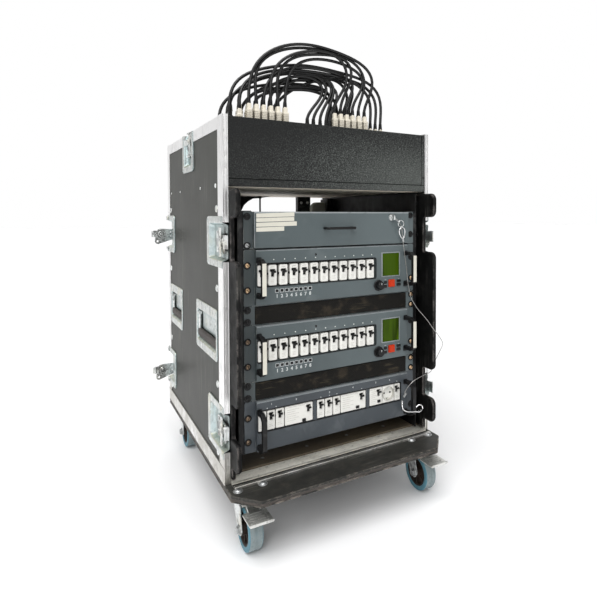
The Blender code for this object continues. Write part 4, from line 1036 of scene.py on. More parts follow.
for c, tag in zip(LATCH_Z, ("upper", "lower")):
    latch_dish(f"front_{tag}", axes((0, FRONT_Y, c), BACK, UP, OUT_LEFT), 135.0, 59.0, 115.0)
    latch_dish(f"rear_{tag}", axes((0, REAR_Y, c), -BACK, UP, OUT_LEFT), 107.0, 59.0, 91.5)
latch_dish("top", axes((0, 70.5, 983.0), -UP, BACK, OUT_LEFT), 108.0, 65.0, 91.0)

def claw_shade_patch(tag, m):
    """A black patch on the dish floor round the claw: painted shade."""
    bed = Piece(f"claw_bed_{tag}", "painted_shade_black")
    bed.box((0.6, 22.0), (-20.0, 20.0), (279.4, 279.9), 0, 1)
    bed.at = m
    bed.both()


for c, tag in zip(LATCH_Z, ("upper", "lower")):
    claw_shade_patch(f"front_{tag}", axes((0, FRONT_Y, c), BACK, UP, OUT_LEFT))
claw_shade_patch("top", axes((0, 70.5, 983.0), -UP, BACK, OUT_LEFT))

# stop pads behind the rear latches
pads = Piece("rear_stop_pads", "zinc")
for c in LATCH_Z:
    for lo, hi in ((-56.5, -43.0), (43.0, 56.5)):
        pads.pillow(rect((361.0, 377.0), (c + lo, c + hi), 4.0, 4), 0, -296.0, -291.4, 1.8, 3)
pads.both()


# ================================================================ latches
def latch_parts():
    arm = Piece("latch_arm", "zinc", angle=36)
    outline = rounded([(-1.0, -14.6), (39.0, -14.6), (41.5, -27.0), (52.5, -27.0), (54.0, -14.6), (62.0, -14.6), (62.0, 14.6), (-1.0, 14.6)], [1, 1, 5, 5, 3, 2, 2, 1], 4)
    arm.pillow(outline, 2, -1.3, 1.3, 0.6, 2)
    lobe = Piece("lobe", "zinc").lathe([(3.3, -4.0), (3.3, 4.0)], (47.0, -21.6), 2, 16)
    arm.cut(lobe)
    for b in (-15.4, 14.2):
        arm.prism(rounded([(3.0, -2.8), (50.0, -2.8), (50.0, 1.0), (42.0, 2.6), (12.0, 2.6), (3.0, 1.4)], [1, 1, 1, 3, 3, 1], 2), 1, b, b + 1.2, 0)
    for lo, hi in ((-18.4, -9.6), (-9.0, 9.0), (9.6, 18.4)):
        arm.lathe([(3.3, lo), (3.3, hi)], (0.0, 0.0), 1, 18)
    arm.lathe([(11.6, 1.2), (11.6, 2.2), (10.9, 2.9), (9.4, 2.9), (9.4, 3.9), (8.8, 4.3), (0.0, 4.3)], (37.0, 0.0), 2, 28)
    claw = [(54.0, -1.2), (60.4, -1.2), (60.4, 5.2), (61.6, 5.8), (63.2, 5.2), (63.4, -2.0), (67.0, -2.4), (67.0, -4.4), (64.0, -4.8), (54.0, -2.6)]
    arm.prism(rounded(claw, [0, 0, 0.6, 0.6, 0.6, 1.2, 0.6, 0.6, 1.0, 0], 3), 1, -15.5, 15.5, 0.3, 1)
    # The spring takes the darker zinc: painted shade under the wing.
    spring = Piece("latch_spring", "zinc_dark")
    turns = [Vector((4.4 * math.cos(t), -8.0 + 16.0 * t / (14 * math.pi), 4.4 * math.sin(t))) for t in (14 * math.pi * k / 112 for k in range(113))]
    spring.tube([Vector((16.0, -8.6, 2.6))] + turns + [Vector((16.0, 8.6, 2.6))], 0.7, 6)
    wing = Piece("latch_wing", "zinc", angle=36)
    shape = rounded([(27, -33), (47, -33), (43.6, -9), (46, 0), (43.6, 9), (47, 33), (27, 33), (30.4, 9), (28, 0), (30.4, -9)], [5, 5, 5, 6, 5, 5, 5, 5, 6, 5], 4)
    wing.pillow(shape, 2, 4.4, 6.2, 0.7, 2)
    for s in (-1, 1):
        wing.prism(rounded([(s * 29.0, 5.6), (s * 33.2, 5.6), (s * 33.2, 8.0), (s * 32.2, 8.0), (s * 31.6, 6.8), (s * 29.0, 6.4)], 0.3, 2), 0, 30.0, 44.0, 0.3, 1)
        wing.pillow(rounded([(33.6, s * 12.0), (40.4, s * 12.0), (42.0, s * 27.0), (32.0, s * 27.0)], 2.6, 3), 2, 5.6, 6.9, 0.6, 2)
    wing.lathe([(7.4, 6.0), (7.4, 6.9), (6.6, 7.4), (4.6, 7.4), (4.2, 8.2), (2.2, 8.8), (0.0, 8.9)], (37.0, 0.0), 2, 22)
    return arm, spring, wing


def hull(points):
    """The convex outline round the points."""
    pts = sorted(set((round(p[0], 4), round(p[1], 4)) for p in points))

    def half(row):
        out = []
        for p in row:
            while len(out) > 1 and (out[-1][0] - out[-2][0]) * (p[1] - out[-2][1]) - (out[-1][1] - out[-2][1]) * (p[0] - out[-2][0]) <= 0:
                out.pop()
            out.append(p)
        return out[:-1]

    return half(pts) + half(pts[::-1])


def flipped_parts():
    """The rear latches: their wings are turned along the arm."""
    arm = Piece("latch_arm", "zinc", angle=36)
    arm.pillow(hull(ring_points(26, 16.6, 39.5, 1.0) + ring_points(20, 9.7, 49.0, -21.6) + [(0.0, -16.6), (0.0, 14.6)]), 2, -1.3, 1.3, 0.6, 2)
    arm.cut(
        Piece("hole", "zinc").lathe([(3.3, -4.0), (3.3, 4.0)], (50.0, -22.2), 2, 18),
        Piece("hole", "zinc").lathe([(2.2, -4.0), (2.2, 4.0)], (9.5, 6.5), 2, 14),
        Piece("hole", "zinc").lathe([(2.2, -4.0), (2.2, 4.0)], (9.5, -7.5), 2, 14),
    )
    arm.prism(rounded([(3.0, -2.8), (26.0, -2.8), (26.0, 1.0), (12.0, 2.6), (3.0, 1.4)], [1, 1, 1, 3, 1], 2), 1, 13.4, 14.6, 0)
    for lo, hi in ((-18.4, -9.6), (-9.0, 9.0), (9.6, 18.4)):
        arm.lathe([(3.3, lo), (3.3, hi)], (0.0, 0.0), 1, 18)
    claw = [(54.0, -1.2), (60.4, -1.2), (60.4, 5.2), (61.6, 5.8), (63.2, 5.2), (63.4, -2.0), (67.0, -2.4), (67.0, -4.4), (64.0, -4.8), (50.0, -2.6)]
    arm.prism(rounded(claw, [0, 0, 0.6, 0.6, 0.6, 1.2, 0.6, 0.6, 1.0, 0], 3), 1, -9.5, 11.5, 0.3, 1)
    cup = Piece("latch_cup", "zinc", angle=36)
    scallops = [((15.8 + 0.9 * math.cos(9 * t)) * math.cos(t) + 39.5, (15.8 + 0.9 * math.cos(9 * t)) * math.sin(t) + 1.0) for t in (2 * math.pi * k / 72 for k in range(72))]
    cup.pillow(scallops, 2, 1.2, 5.6, 1.0, 2)
    cup.cut(Piece("hollow", "zinc").lathe([(12.4, 2.6), (13.2, 9.0)], (39.5, 1.0), 2, 36))
    cup.lathe([(9.2, 2.4), (9.2, 6.6), (8.4, 7.4), (7.2, 7.4), (6.6, 6.4), (6.6, 2.4)], (39.5, 1.0), 2, 30)
    cup.lathe([(4.6, 2.4), (4.6, 7.0), (3.8, 7.9), (0.0, 8.1)], (39.5, 1.0), 2, 24)
    return arm, cup


ARM, SPRING, WING = latch_parts()
FLAT_ARM, CUP = flipped_parts()


def latch(tag, hinge, edge, along, lifts):
    parts = [(FLAT_ARM, 1), (SPRING, 0), (CUP, 0)] if tag.startswith("rear") else [(ARM, 1), (SPRING, 0), (WING, 0)]
    for side, lift in zip(("left", "right"), lifts):
        t = math.radians(lift)
        m = axes(hinge, edge * math.cos(t) + OUT_LEFT * math.sin(t), along, OUT_LEFT * math.cos(t) - edge * math.sin(t))
        if side == "right":
            m = Matrix.Diagonal((-1, 1, 1, 1)) @ m
        body = f"latch_{tag}_{side}"
        for part, stands_in in parts:
            part.at = m
            part.place(f"{part.name}_{tag}_{side}", body, (body,) if stands_in else (), keep=True)


for c, tag in zip(LATCH_Z, ("upper", "lower")):
    latch(f"front_{tag}", (-AXIS_X, FRONT_Y + 60, c), -BACK, UP, (0.0, 22.0))
    latch(f"rear_{tag}", (-AXIS_X, REAR_Y - 60, c), BACK, UP, (97.0, 97.0))
latch("top", (-AXIS_X, 70.5, 923.0), UP, BACK, (0.0, 0.0))

# hinge eyes of the latches, in the dishes
eyes = Piece("latch_hinge_eyes", "zinc")


def hinge_eye(centre, edge, along):
    for s in (-1, 1):
        m = axes(Vector(centre) + along * (19.0 * s if s > 0 else -25.0), edge, along, OUT_LEFT)
        eyes.prism(rounded([(-5.5, -6.4), (5.5, -6.4), (4.6, 1.0), (0.0, 4.4), (-4.6, 1.0)], [0, 0, 2, 3, 2], 3), 1, 0.0, 6.0, 0.5, 2, m)


for c in LATCH_Z:
    hinge_eye((-AXIS_X, FRONT_Y + 60, c), -BACK, UP)
    hinge_eye((-AXIS_X, REAR_Y - 60, c), BACK, UP)
hinge_eye((-AXIS_X, 70.5, 923.0), UP, BACK)
eyes.both()

# ================================================================ side handles
for tag, (y0, y1) in zip(("front", "rear"), HANDLE_Y):
    pan = Piece(f"handle_dish_{tag}", "dish", angle=38)

    def frame_line(by_y, low, high, r):
        return rect((y0 + by_y, y1 - by_y), (409.0 + low, 534.0 - high), r, 5)

    pan.sheet(
        [
            (frame_line(0, 0, 0, 10), -288.1), (frame_line(0, 0, 0, 10), -289.2), (frame_line(0.6, 0.6, 0.6, 9.4), -290.0), (frame_line(1.6, 1.6, 1.6, 8.4), -290.3),
            (frame_line(7.6, 17.6, 22.6, 9), -290.3), (frame_line(9.0, 19.0, 24.0, 8), -289.7), (frame_line(10.0, 20.0, 25.0, 7), -288.0),
            (frame_line(12.6, 26.0, 27.6, 7), -280.4), (frame_line(13.4, 27.4, 28.4, 6), -278.9), (frame_line(15.4, 29.4, 30.4, 5), -278.2),
        ],
        0, 1.2, closed=True, back=True,
    )
    for y in (y0 + 8.0, (y0 + y1) / 2, y1 - 8.0):
        for z in (418.5, 523.5):
            if abs(y - (y0 + y1) / 2) > 1 or z > 500:
                pan.dome((y, z), 0, -290.1, 3.6, -1.6, 14)
    pan.both()
    knuckle = Piece(f"handle_knuckles_{tag}", "zinc")
    for y in (y0 + 10.6, y1 - 10.6):
        knuckle.lathe([(5.4, y - 1.4), (5.4, y + 1.4)], (-AXIS_X, 497.0), 1, 18)
    knuckle.both()
    i0, i1 = y0 + 12.0, y1 - 12.0
    body = f"side_handle_{tag}_SIDE"
    grip = Piece(f"bail_grip_{tag}", "grip", body=body, nodes=(body,))
    section = rounded([(-289.0, 437.0), (-279.2, 437.0), (-279.2, 457.0), (-289.0, 457.0)], 4.0, 4)
    rings, y = [(offset(section, 2.4), i0 + 0.4), (offset(section, 0.8), i0 + 1.2), (section, i0 + 3.2)], i0 + 9.0
    while y < i1 - 9.0:
        rings += [(section, y - 1.3), (offset(section, 0.7), y - 0.5), (offset(section, 0.7), y + 0.5), (section, y + 1.3)]
        y += 9.0
    rings += [(section, i1 - 3.2), (offset(section, 0.8), i1 - 1.2), (offset(section, 2.4), i1 - 0.4)]
    grip.loft(rings, 1)
    grip.both()
    rod = Piece(f"bail_rod_{tag}", "zinc", body=body)
    for end, s in ((i0, 1), (i1, -1)):
        rod.tube([Vector((-AXIS_X, end + s * 4.5, 498.0)), Vector((-AXIS_X, end + s * 4.5, 470.0)), Vector((-AXIS_X, end + s * 4.7, 460.0)), Vector((-AXIS_X, end + s * 6.2, 452.0)), Vector((-AXIS_X, end + s * 9.0, 448.0))], 3.7, 14)
        rod.lathe([(4.9, end + s * 0.4), (4.9, end + s * 8.6)], (-AXIS_X, 497.0), 1, 18)
    rod.both()

# ================================================================ rivets on the side boards
rivets = Piece("side_rivets", "zinc", angle=60)
for y, zs in ((-219.0, (770.8, 585.1, 359.4, 198.9)), (336.0, (770.8, 583.0, 356.0, 198.9))):
    for z in zs:
        rivets.dome((y, z), 0, -287.9, 8.5, -3.2, 24)
for y, r in ((-210.5, 5.6), (-61.5, 3.9), (188.5, 3.6), (324.5, 3.4)):
    rivets.dome((y, 825.0), 0, -287.9, r, -r * 0.42, 20)
rivets.both()

# ================================================================ inner side boards
lining_shape = rounded(
    [
        (370.0, 155.5), (-284.5, 155.5), (-284.5, 183.0), (-331.5, 183.0), (-331.5, 250.0), (-284.5, 250.0), (-284.5, 328.0),
        (-331.5, 328.0), (-331.5, 654.0), (-284.5, 654.0), (-284.5, 750.0), (-331.5, 750.0), (-331.5, 815.0), (370.0, 815.0),
    ],
    [0, 0, 4, 18, 18, 4, 4, 18, 18, 4, 4, 18, 18, 0],
    7,
)
lining = Piece("inner_side_board", "black_board", nodes=("lining_SIDE",), angle=50)
lining.pillow(lining_shape, 0, -276.3, -265.3, 4.2, 4)
lining.both()
heads = Piece("inner_board_screws", "screw_black", angle=60)
for z in (200.0, 300.0, 420.0, 560.0, 700.0, 790.0):
    for y in (-255.0, 60.0, 340.0):
        heads.dome((y, z), 0, -265.4, 4.6, 1.8, 16)
heads.both()

# ================================================================ wheeled board, floor, sill
BASE = [(-240.3, -382.5), (240.3, -382.5), (290.3, -325.5), (290.3, 378.5), (278.3, 390.5), (-278.3, 390.5), (-290.3, 378.5), (-290.3, -325.5)]
base = Piece("wheeled_board", "phenolic", nodes=("base_board",), angle=40)
base.pillow(rounded(BASE, [8, 8, 8, 4, 4, 4, 4, 8], 5), 2, 136.6, 143.0, 2.4, 3)
base.pillow(rounded(BASE, [8, 8, 8, 4, 4, 4, 4, 8], 5), 2, 128.0, 131.6, 1.6, 3)
base.place()
core = Piece("wheeled_board_core", "board_edge")
core.prism(rounded(offset(BASE, 1.1), [8, 8, 8, 4, 4, 4, 4, 8], 5), 2, 131.0, 137.0, 0)
core.place()

bolts = Piece("board_bolts", "zinc_dark", angle=50)
for x, y in ((208.6, -308.8), (267.5, -306.0), (-270.8, -313.4), (-212.8, -312.3)):
    bolts.lathe([(11.0, 142.9), (11.0, 143.6), (10.4, 144.1), (8.4, 144.2), (8.2, 145.2), (6.6, 146.9), (3.6, 148.0), (0.0, 148.4)], (x, y), 2, 24)
bolts.place()

castor_plates = Piece("castor_plates", "zinc", angle=40)
plate_bolts = Piece("castor_plate_bolts", "zinc_dark", angle=40)
for sx in (-1, 1):
    for y in (-269.5, 341.5):
        x = sx * 242.0
        castor_plates.pillow(rect((x - 42.5, x + 42.5), (y - 50, y + 50), 7, 4), 2, 124.0, 128.2, 0.8, 2)
        for dx in (-31, 31):
            for dy in (-38, 38):
                plate_bolts.prism(ring_points(6, 6.6, x + dx, y + dy, 0.3), 2, 119.6, 124.3, 0.7, 2)
                plate_bolts.lathe([(8.4, 123.2), (8.4, 124.4)], (x + dx, y + dy), 2, 18)
castor_plates.place()
plate_bolts.place()

floor_board = Piece("inner_floor", "floor_ply", nodes=("case_floor",))
floor_board.box((-276.0, 276.0), (-248.9, 370.0), (143.3, 155.0), 1.6, 3)
floor_board.place()
screws = Piece("floor_screws", "zinc_dark", angle=50)
for x, y in ((177.0, -214.8), (-60.0, -216.0), (60.0, -212.0), (-180.0, -218.0), (-150.0, 300.0), (0.0, 300.0), (150.0, 300.0)):
    screws.lathe([(4.6, 154.6), (4.6, 155.3), (3.8, 155.9), (1.4, 156.0), (1.2, 155.5), (0.0, 155.5)], (x, y), 2, 18)
screws.place()

sill = Piece("sill_rear_strip", "sill_metal", nodes=("sill_front",), angle=30)
ribs = [(-249.3, 143.4)]
ribs += [(-249.3, 150.4)]
y = -250.4
while y > -284.0:
    ribs += [(y, 151.0), (y - 2.2, 151.0), (y - 2.6, 150.4), (y - 4.0, 150.4), (y - 4.4, 151.0)]
    y -= 4.8
ribs += [(-285.2, 150.6), (-285.4, 146.6), (-286.4, 146.4), (-286.4, 143.4)]
sill.prism(ribs, 0, -275.5, 275.5, 0)
sill.place()
sill_front = Piece("sill_front_strip", "aluminium", angle=30)
sill_front.prism(rounded([(-286.2, 143.4), (-286.2, 145.2), (-297.6, 145.2), (-298.0, 149.0), (-306.8, 149.4), (-307.6, 148.4), (-307.6, 143.4)], [0, 0, 0, 0.8, 1.2, 0.6, 0], 3), 0, -275.5, 275.5, 0)
sill_front.place()
# Painted shade: a black strip stands for the dark of the groove in the sill.
groove = Piece("sill_groove", "painted_shade_black")
groove.box((-275.4, 275.4), (-297.4, -286.6), (145.0, 145.7), 0.2, 1)
groove.place()

# ================================================================ castors
for end, y in (("front", -269.5), ("rear", 341.5)):
    x, ay, az = -242.0, y - 35.0, 50.0
    body = f"castor_fork_{end}_SIDE"
    fork = Piece(f"fork_{end}", "zinc", body=body, nodes=(body,), angle=40)
    cheek = rounded([(y + 31, 120.6), (y - 33, 120.6), (y - 52, 52), (y - 42, 37), (y - 25, 37), (y - 14, 62), (y + 20, 100)], [4, 6, 12, 10, 10, 18, 8], 5)
    for lo in (x - 24.2, x + 20.8):
        fork.pillow(cheek, 0, lo, lo + 3.4, 1.1, 2)
    fork.prism(rounded([(x - 24.2, 121.0), (x - 24.2, 113.0), (x - 20.8, 113.0), (x - 20.8, 117.2), (x + 20.8, 117.2), (x + 20.8, 113.0), (x + 24.2, 113.0), (x + 24.2, 121.0)], [3, 0, 0, 3, 3, 0, 0, 3], 3), 1, y - 33, y + 30, 0.5, 2)
    fork.lathe([(20.0, 120.4), (31.0, 120.4), (33.0, 121.2), (33.0, 121.9), (31.6, 122.4), (31.6, 123.8), (20.0, 123.8)], (x, y), 2, 36)
    fork.lathe([(0.0, 108.6), (7.4, 108.6), (8.6, 110.0), (8.6, 114.0), (13.0, 116.6), (13.0, 118.0), (0.0, 118.0)], (x, y), 2, 24)
    fork.both()
    axle = Piece(f"axle_{end}", "zinc_dark", body=body, angle=40)
    axle.lathe([(4.8, x - 27.0), (4.8, x + 27.0)], (ay, az), 0, 18)
    for lo, hi in ((x - 26.2, x - 24.0), (x + 24.0, x + 26.2)):
        axle.lathe([(10.6, lo), (10.6, hi)], (ay, az), 0, 26)
    for lo, hi in ((x - 31.0, x - 25.8), (x + 25.8, x + 30.4)):
        axle.prism(ring_points(6, 8.4, ay, az, 0.25), 0, lo, hi, 0.9, 2)
    axle.both()
    body = f"castor_wheel_{end}_SIDE"
    tyre = Piece(f"tyre_{end}", "tyre", body=body, nodes=(body,), angle=40)
    for s in (-1, 1):
        tyre.lathe([(37.6, x + s * 9.0), (37.6, x + s * 15.2), (39.4, x + s * 16.2), (46.2, x + s * 16.2), (48.6, x + s * 15.4), (49.4, x + s * 14.2), (49.4, x + s * 9.0)], (ay, az), 0, 56, ring=True)
    tyre.both()
    tread = Piece(f"tread_{end}", "tread", body=body, angle=40)
    tread.lathe(
        [(40.0, x - 14.4), (49.2, x - 14.4), (50.0, x - 13.0), (50.0, x - 2.6), (49.0, x - 1.6), (49.0, x + 1.6), (50.0, x + 2.6), (50.0, x + 13.0), (49.2, x + 14.4), (40.0, x + 14.4)],
        (ay, az), 0, 56, ring=True,
    )
    tread.both()
    hub = Piece(f"wheel_hub_{end}", "hub", body=body, angle=40)
    hub.lathe(
        [(5.6, x - 19.5), (12.6, x - 19.5), (14.0, x - 18.2), (14.6, x - 9.0), (31.0, x - 7.6), (33.4, x - 13.0), (35.0, x - 14.4), (38.2, x - 14.8),
         (38.2, x + 14.8), (35.0, x + 14.4), (33.4, x + 13.0), (31.0, x + 7.6), (14.6, x + 9.0), (14.0, x + 18.2), (12.6, x + 19.5), (5.6, x + 19.5)],
        (ay, az), 0, 44, ring=True,
    )
    for k in range(6):
        turn = Matrix.Translation((x, ay, az)) @ Matrix.Rotation(math.pi * k / 3, 4, "X")
        for s in (-1, 1):
            hub.box((min(s * 7.0, s * 12.6), max(s * 7.0, s * 12.6)), (-1.6, 1.6), (13.0, 33.4), 0.5, 2, turn)
    hub.both()

body = "brake_pedal_SIDE"
x, y = -242.0, -269.5
pedal = Piece("pedal", "pedal_metal", body=body, nodes=(body,), angle=40)
pedal.pillow(rect((x - 27.0, x + 27.0), (y - 121.0, y - 64.0), 6, 4), 2, 97.0, 100.6, 1.0, 2)
pedal.pillow(rect((x - 27.0, x + 27.0), (97.2, 103.6), 2.4, 3), 1, y - 121.2, y - 118.2, 1.0, 2)
for k in range(5):
    pedal.pillow(rect((x - 21.0, x + 21.0), (y - 112.0 + 9.0 * k, y - 108.4 + 9.0 * k), 1.6, 3), 2, 100.2, 101.4, 0.6, 2)
pedal.prism(rounded([(y - 74, 97.2), (y - 64, 97.4), (y - 40.5, 104.5), (y - 40.5, 110.5), (y - 47, 110.5), (y - 74, 100.4)], 1.2, 2), 0, x - 13.0, x + 13.0, 0.6, 2)
pedal.lathe([(4.0, x - 20.0), (4.0, x + 20.0)], (y - 44.0, 107.6), 0, 18)
pedal.both()

# ================================================================ top box
tray = Piece("top_box_floor", "birch", nodes=("top_box_tray",), angle=40)
tray.box((-275.8, 275.8), (-265.2, 371.0), (821.0, 830.0), 1.0, 2)
tray.box((-275.8, 275.8), (362.2, 371.0), (829.6, 974.0), 1.0, 2)
tray.place()
fascia = Piece("fascia_board", "black_grain", nodes=("top_fascia",), angle=50)
fascia.pillow(rect((-276.0, 267.2), (839.8, 979.8), 2.5, 3), 1, -274.5, -266.4, 2.2, 3)
fascia.pillow(rect((-276.0, 276.0), (821.2, 838.6), 3.0, 3), 1, -274.9, -266.2, 2.6, 3)
fascia.pillow(rect((268.4, 276.0), (839.4, 979.8), 2.0, 3), 1, -274.7, -266.4, 1.4, 3)
fascia.pillow(rect((-276.0, 276.0), (-268.0, -246.2), 1.5, 3), 2, 975.2, 980.3, 1.8, 3)
fascia.place()
backing = Piece("fascia_backing", "black_board")
backing.box((-276.0, 276.0), (-269.4, -265.5), (821.4, 979.2), 0.4, 1)
backing.place()
fascia_screws = Piece("fascia_screws", "screw_black", angle=50)
for x in (272.2,):
    for z in (860.0, 958.0):
        fascia_screws.lathe([(2.9, -274.4), (2.9, -275.0), (2.2, -275.5), (0.0, -275.6)], (x, z), 1, 16)
fascia_screws.place()

deck = Piece("patch_deck_plate", "black_paint", nodes=("patch_deck",), angle=40)
deck.prism(rounded([(-265.2, 930.0), (-265.2, 955.0), (361.7, 955.0), (361.7, 930.0), (360.1, 930.0), (360.1, 953.4), (-263.6, 953.4), (-263.6, 930.0)], [0, 2.4, 2.4, 0, 0, 0.8, 0.8, 0], 3), 0, -275.6, 275.6, 0.3, 1)
deck.place()
strip = Piece("patch_strip", "black_plastic", nodes=("patch_plugs",), angle=40)
strip.pillow(rect((-250.0, 172.0), (PATCH_Y - 16, PATCH_Y + 16), 2.0, 3), 2, 955.3, 962.0, 1.2, 2)
strip.pillow(rect((-260.0, 120.0), (BACK_Y - 14, BACK_Y + 13), 2.0, 3), 2, 955.2, 962.0, 1.2, 2)
strip.place()
NECK = rect((-5.0, 5.0), (-7.0, 7.0), 2.2, 3)
BLOCK = rect((-6.8, 6.8), (-11.0, 11.0), 2.0, 3)


def shifted(outline, x, y):
    return [(p[0] + x, p[1] + y) for p in outline]


def plug(piece, x, y, low, top, wide=1.0):
    block = shifted([(p[0] * wide, p[1] * wide) for p in BLOCK], x, y)
    neck = shifted([(p[0] * wide, p[1] * wide) for p in NECK], x, y)
    rings = [(offset(block, 0.8), low), (block, low + 1.0)]
    z = max(low + 2.0, top - 37.0)
    while z < top - 17.0:
        rings += [(block, z), (offset(block, 0.9), z + 0.5), (offset(block, 0.9), z + 1.5), (block, z + 2.0)]
        z += 4.0
    rings += [(block, top - 14.4), (offset(block, 0.8), top - 13.4), (offset(neck, -0.8), top - 12.6), (neck, top - 11.6), (neck, top - 1.4), (offset(neck, 1.2), top)]
    piece.loft(rings, 2)


def relief(piece, x, y, top):
    """The tapered sleeve where a cable leaves its plug, with rings cut in it."""
    rows = [(0.0, top - 3.0), (5.4, top - 2.0), (5.4, top + 0.6)]
    for k in range(5):
        r = 5.3 - 0.18 * k
        z = top + 0.8 + 2.4 * k
        rows += [(r, z), (r, z + 1.2), (r - 0.5, z + 1.4), (r - 0.5, z + 2.2)]
    rows += [(4.5, top + 13.2), (4.2, top + 14.0), (0.0, top + 14.2)]
    piece.lathe(rows, (x, y), 2, 20)


plugs = Piece("patch_plug_row", "cream", angle=44)
reliefs = Piece("plug_reliefs", "black_plastic", angle=44)
for k, x in enumerate(LEFT_PLUGS + RIGHT_PLUGS):
    top = PLUG_TOP - 15.0 if k == 0 else PLUG_TOP
    plug(plugs, x, PATCH_Y, 961.0, top)
    relief(reliefs, x, PATCH_Y, top)
for x in BACK_LEFT[:6] + BACK_RIGHT:
    plug(plugs, x, BACK_Y, 961.0, PLUG_TOP)
    relief(reliefs, x, BACK_Y, PLUG_TOP)
dark_plugs = Piece("dark_plugs", "black_plastic", angle=44)
for x, y, z in ((-256.0, BACK_Y - 20, 1000.0), (-262.0, BACK_Y + 40, 990.0), (6.0, BACK_Y - 12, 975.0), (-62.0, PATCH_Y, 985.0), (-45.0, PATCH_Y, 985.0), (-244.5, BACK_Y + 10, 1007.5), (-26.0, PATCH_Y, 985.0), (-249.0, BACK_Y + 20, 991.5), (-9.0, PATCH_Y, 985.0), (-215.0, BACK_Y + 24, 991.5), (4.0, PATCH_Y + 4, 985.0), (-140.0, BACK_Y + 16, 993.5)):
    if x > -255 or y > -200:
        plug(dark_plugs, x, y, 955.2, z + 2.0, 0.72)
        relief(reliefs, x, y, z + 2.0)
plug(dark_plugs, -256.0, BACK_Y - 20, 955.2, 1002.0, 0.72)
relief(reliefs, -256.0, BACK_Y - 20, 1002.0)
small = Piece("small_plugs", "cream", angle=44)
for x in (125.0, 141.0, 157.5):
    plug(small, x, PATCH_Y, 961.0, 992.0, 0.8)
    relief(reliefs, x, PATCH_Y, 992.0)
plugs.place()
dark_plugs.place()
small.place()
reliefs.place()
sockets = Piece("deck_sockets", "black_plastic", angle=44)
rings_on_deck = Piece("deck_socket_rims", "galvanised", angle=44)
for y in (-110.0, -60.0, -10.0, 40.0, 90.0, 140.0):
    for k in range(12):
        x = -236.5 + 43.0 * k
        rings_on_deck.lathe([(13.6, 954.8), (13.6, 957.0), (12.8, 957.8), (11.0, 957.8), (10.6, 957.0), (10.6, 954.9)], (x, y), 2, 28, ring=True)
        sockets.lathe([(10.8, 954.8), (10.8, 956.2), (3.2, 956.2), (3.0, 955.2), (0.0, 955.2)], (x, y), 2, 24)
sockets.place()
rings_on_deck.place()

# ================================================================ gap over the drawer
post = Piece("rear_post", "black_paint", angle=40)
post.prism(rounded([(137.0, 290.0), (187.0, 290.0), (187.0, 310.0), (184.6, 310.0), (184.6, 292.6), (139.4, 292.6), (139.4, 310.0), (137.0, 310.0)], [1.6, 1.6, 0, 0, 0.8, 0.8, 0, 0], 3), 2, 155.5, 820.7, 0.2, 1)
post.place()
post_screws = Piece("rear_post_screws", "galvanised", angle=50)
for k in range(15):
    z = 800.0 - 44.45 * k
    for x in (150.0, 174.0):
        post_screws.lathe([(5.2, 290.2), (5.2, 288.9), (4.4, 287.7), (2.0, 287.3), (0.0, 287.3)], (x, z), 1, 16)
post_screws.place()
gusset = Piece("rear_gusset", "black_board", angle=40)
g0, g1, g2 = seen(241.0, 210.5, 300), seen(247.5, 201.5, 300), seen(259.0, 198.2, 300)
gusset.prism([(-264.9, 700.0), (g0.x, g0.z), ((g0.x + g1.x) / 2 - 2, (g0.z + g1.z) / 2 + 3), (g1.x, g1.z), ((g1.x + g2.x) / 2 - 3, (g1.z + g2.z) / 2 + 4), (g2.x, g2.z), (g2.x + 40, 820.4), (-264.9, 820.4)], 1, 294.0, 304.0, 0.8, 2)
gusset.place()
lead = Piece("rear_lead", "cable")
lead.tube(smooth_route([(-1.0, 300.0, 821.5), (-1.2, 300.0, 780.0), (0.5, 301.0, 700.0), (-1.0, 299.0, 560.0), (1.0, 300.0, 400.0), (0.0, 300.0, 250.0), (0.0, 300.0, 154.6)], 40), 3.0, 10)
lead.place()
lead_ends = Piece("rear_lead_glands", "black_plastic", angle=44)
lead_ends.lathe([(0.0, 812.0), (3.6, 812.4), (4.8, 814.0), (6.6, 816.0), (6.6, 821.0), (0.0, 821.0)], (-1.0, 300.0), 2, 24)
lead_ends.lathe([(0.0, 155.0), (6.6, 155.0), (6.6, 160.0), (4.8, 162.0), (3.6, 164.0), (0.0, 164.2)], (0.0, 300.0), 2, 24)
lead_ends.place()
grey = Piece("rear_box", "grey_box", angle=40)
grey.pillow(rounded([(226.0, 690.0), (226.0, 801.0), (170.0, 801.0), (170.0, 690.0)], [4, 4, 22, 8], 6), 1, 237.3, 262.0, 3.0, 3)
grey.place()
lid = Piece("rear_box_lid", "grey_box", angle=40)
lid.pillow(rounded([(223.0, 694.0), (223.0, 797.0), (174.0, 797.0), (174.0, 694.0)], [3, 3, 19, 6], 6), 1, 262.2, 265.4, 1.2, 2)
lid.place()

# ================================================================ rack frames
rack = Piece("rack_rails", "black_paint", nodes=("rack_frame_SIDE",), angle=30)
rack.box((-254.0, -252.0), (-266.7, 237.0), (155.5, 815.0), 0)
rack.box((-252.5, -221.5), (-266.7, -264.7), (198.5, 766.5), 0)
rack.box((-252.5, -221.5), (235.0, 237.0), (155.5, 815.0), 0)
punched = Piece("punched", "black_paint")
z = 165.0
pitch = (15.875, 15.875, 12.7)
k = 0
while z < 808.0:
    punched.box((-237.4, -227.8), (-270.0, 240.0), (z - 4.8, z + 4.8), 0)
    z += pitch[k % 3]
    k += 1
rack.cut(punched).both()
# Painted shade: black strips behind the punched holes of the rear rails, so the holes look dark.
hole_shade = Piece("rack_hole_shade", "painted_shade_black")
hole_shade.box((-241.0, -224.0), (237.1, 238.6), (157.0, 814.0), 0.2, 1)
hole_shade.both()
lips = Piece("rack_rail_lips", "black_paint")
lips.box((-222.9, -221.4), (-264.9, -254.0), (199.0, 766.0), 0.3, 1)
lips.box((-222.9, -221.4), (222.0, 235.2), (156.0, 814.5), 0.3, 1)
lips.both()

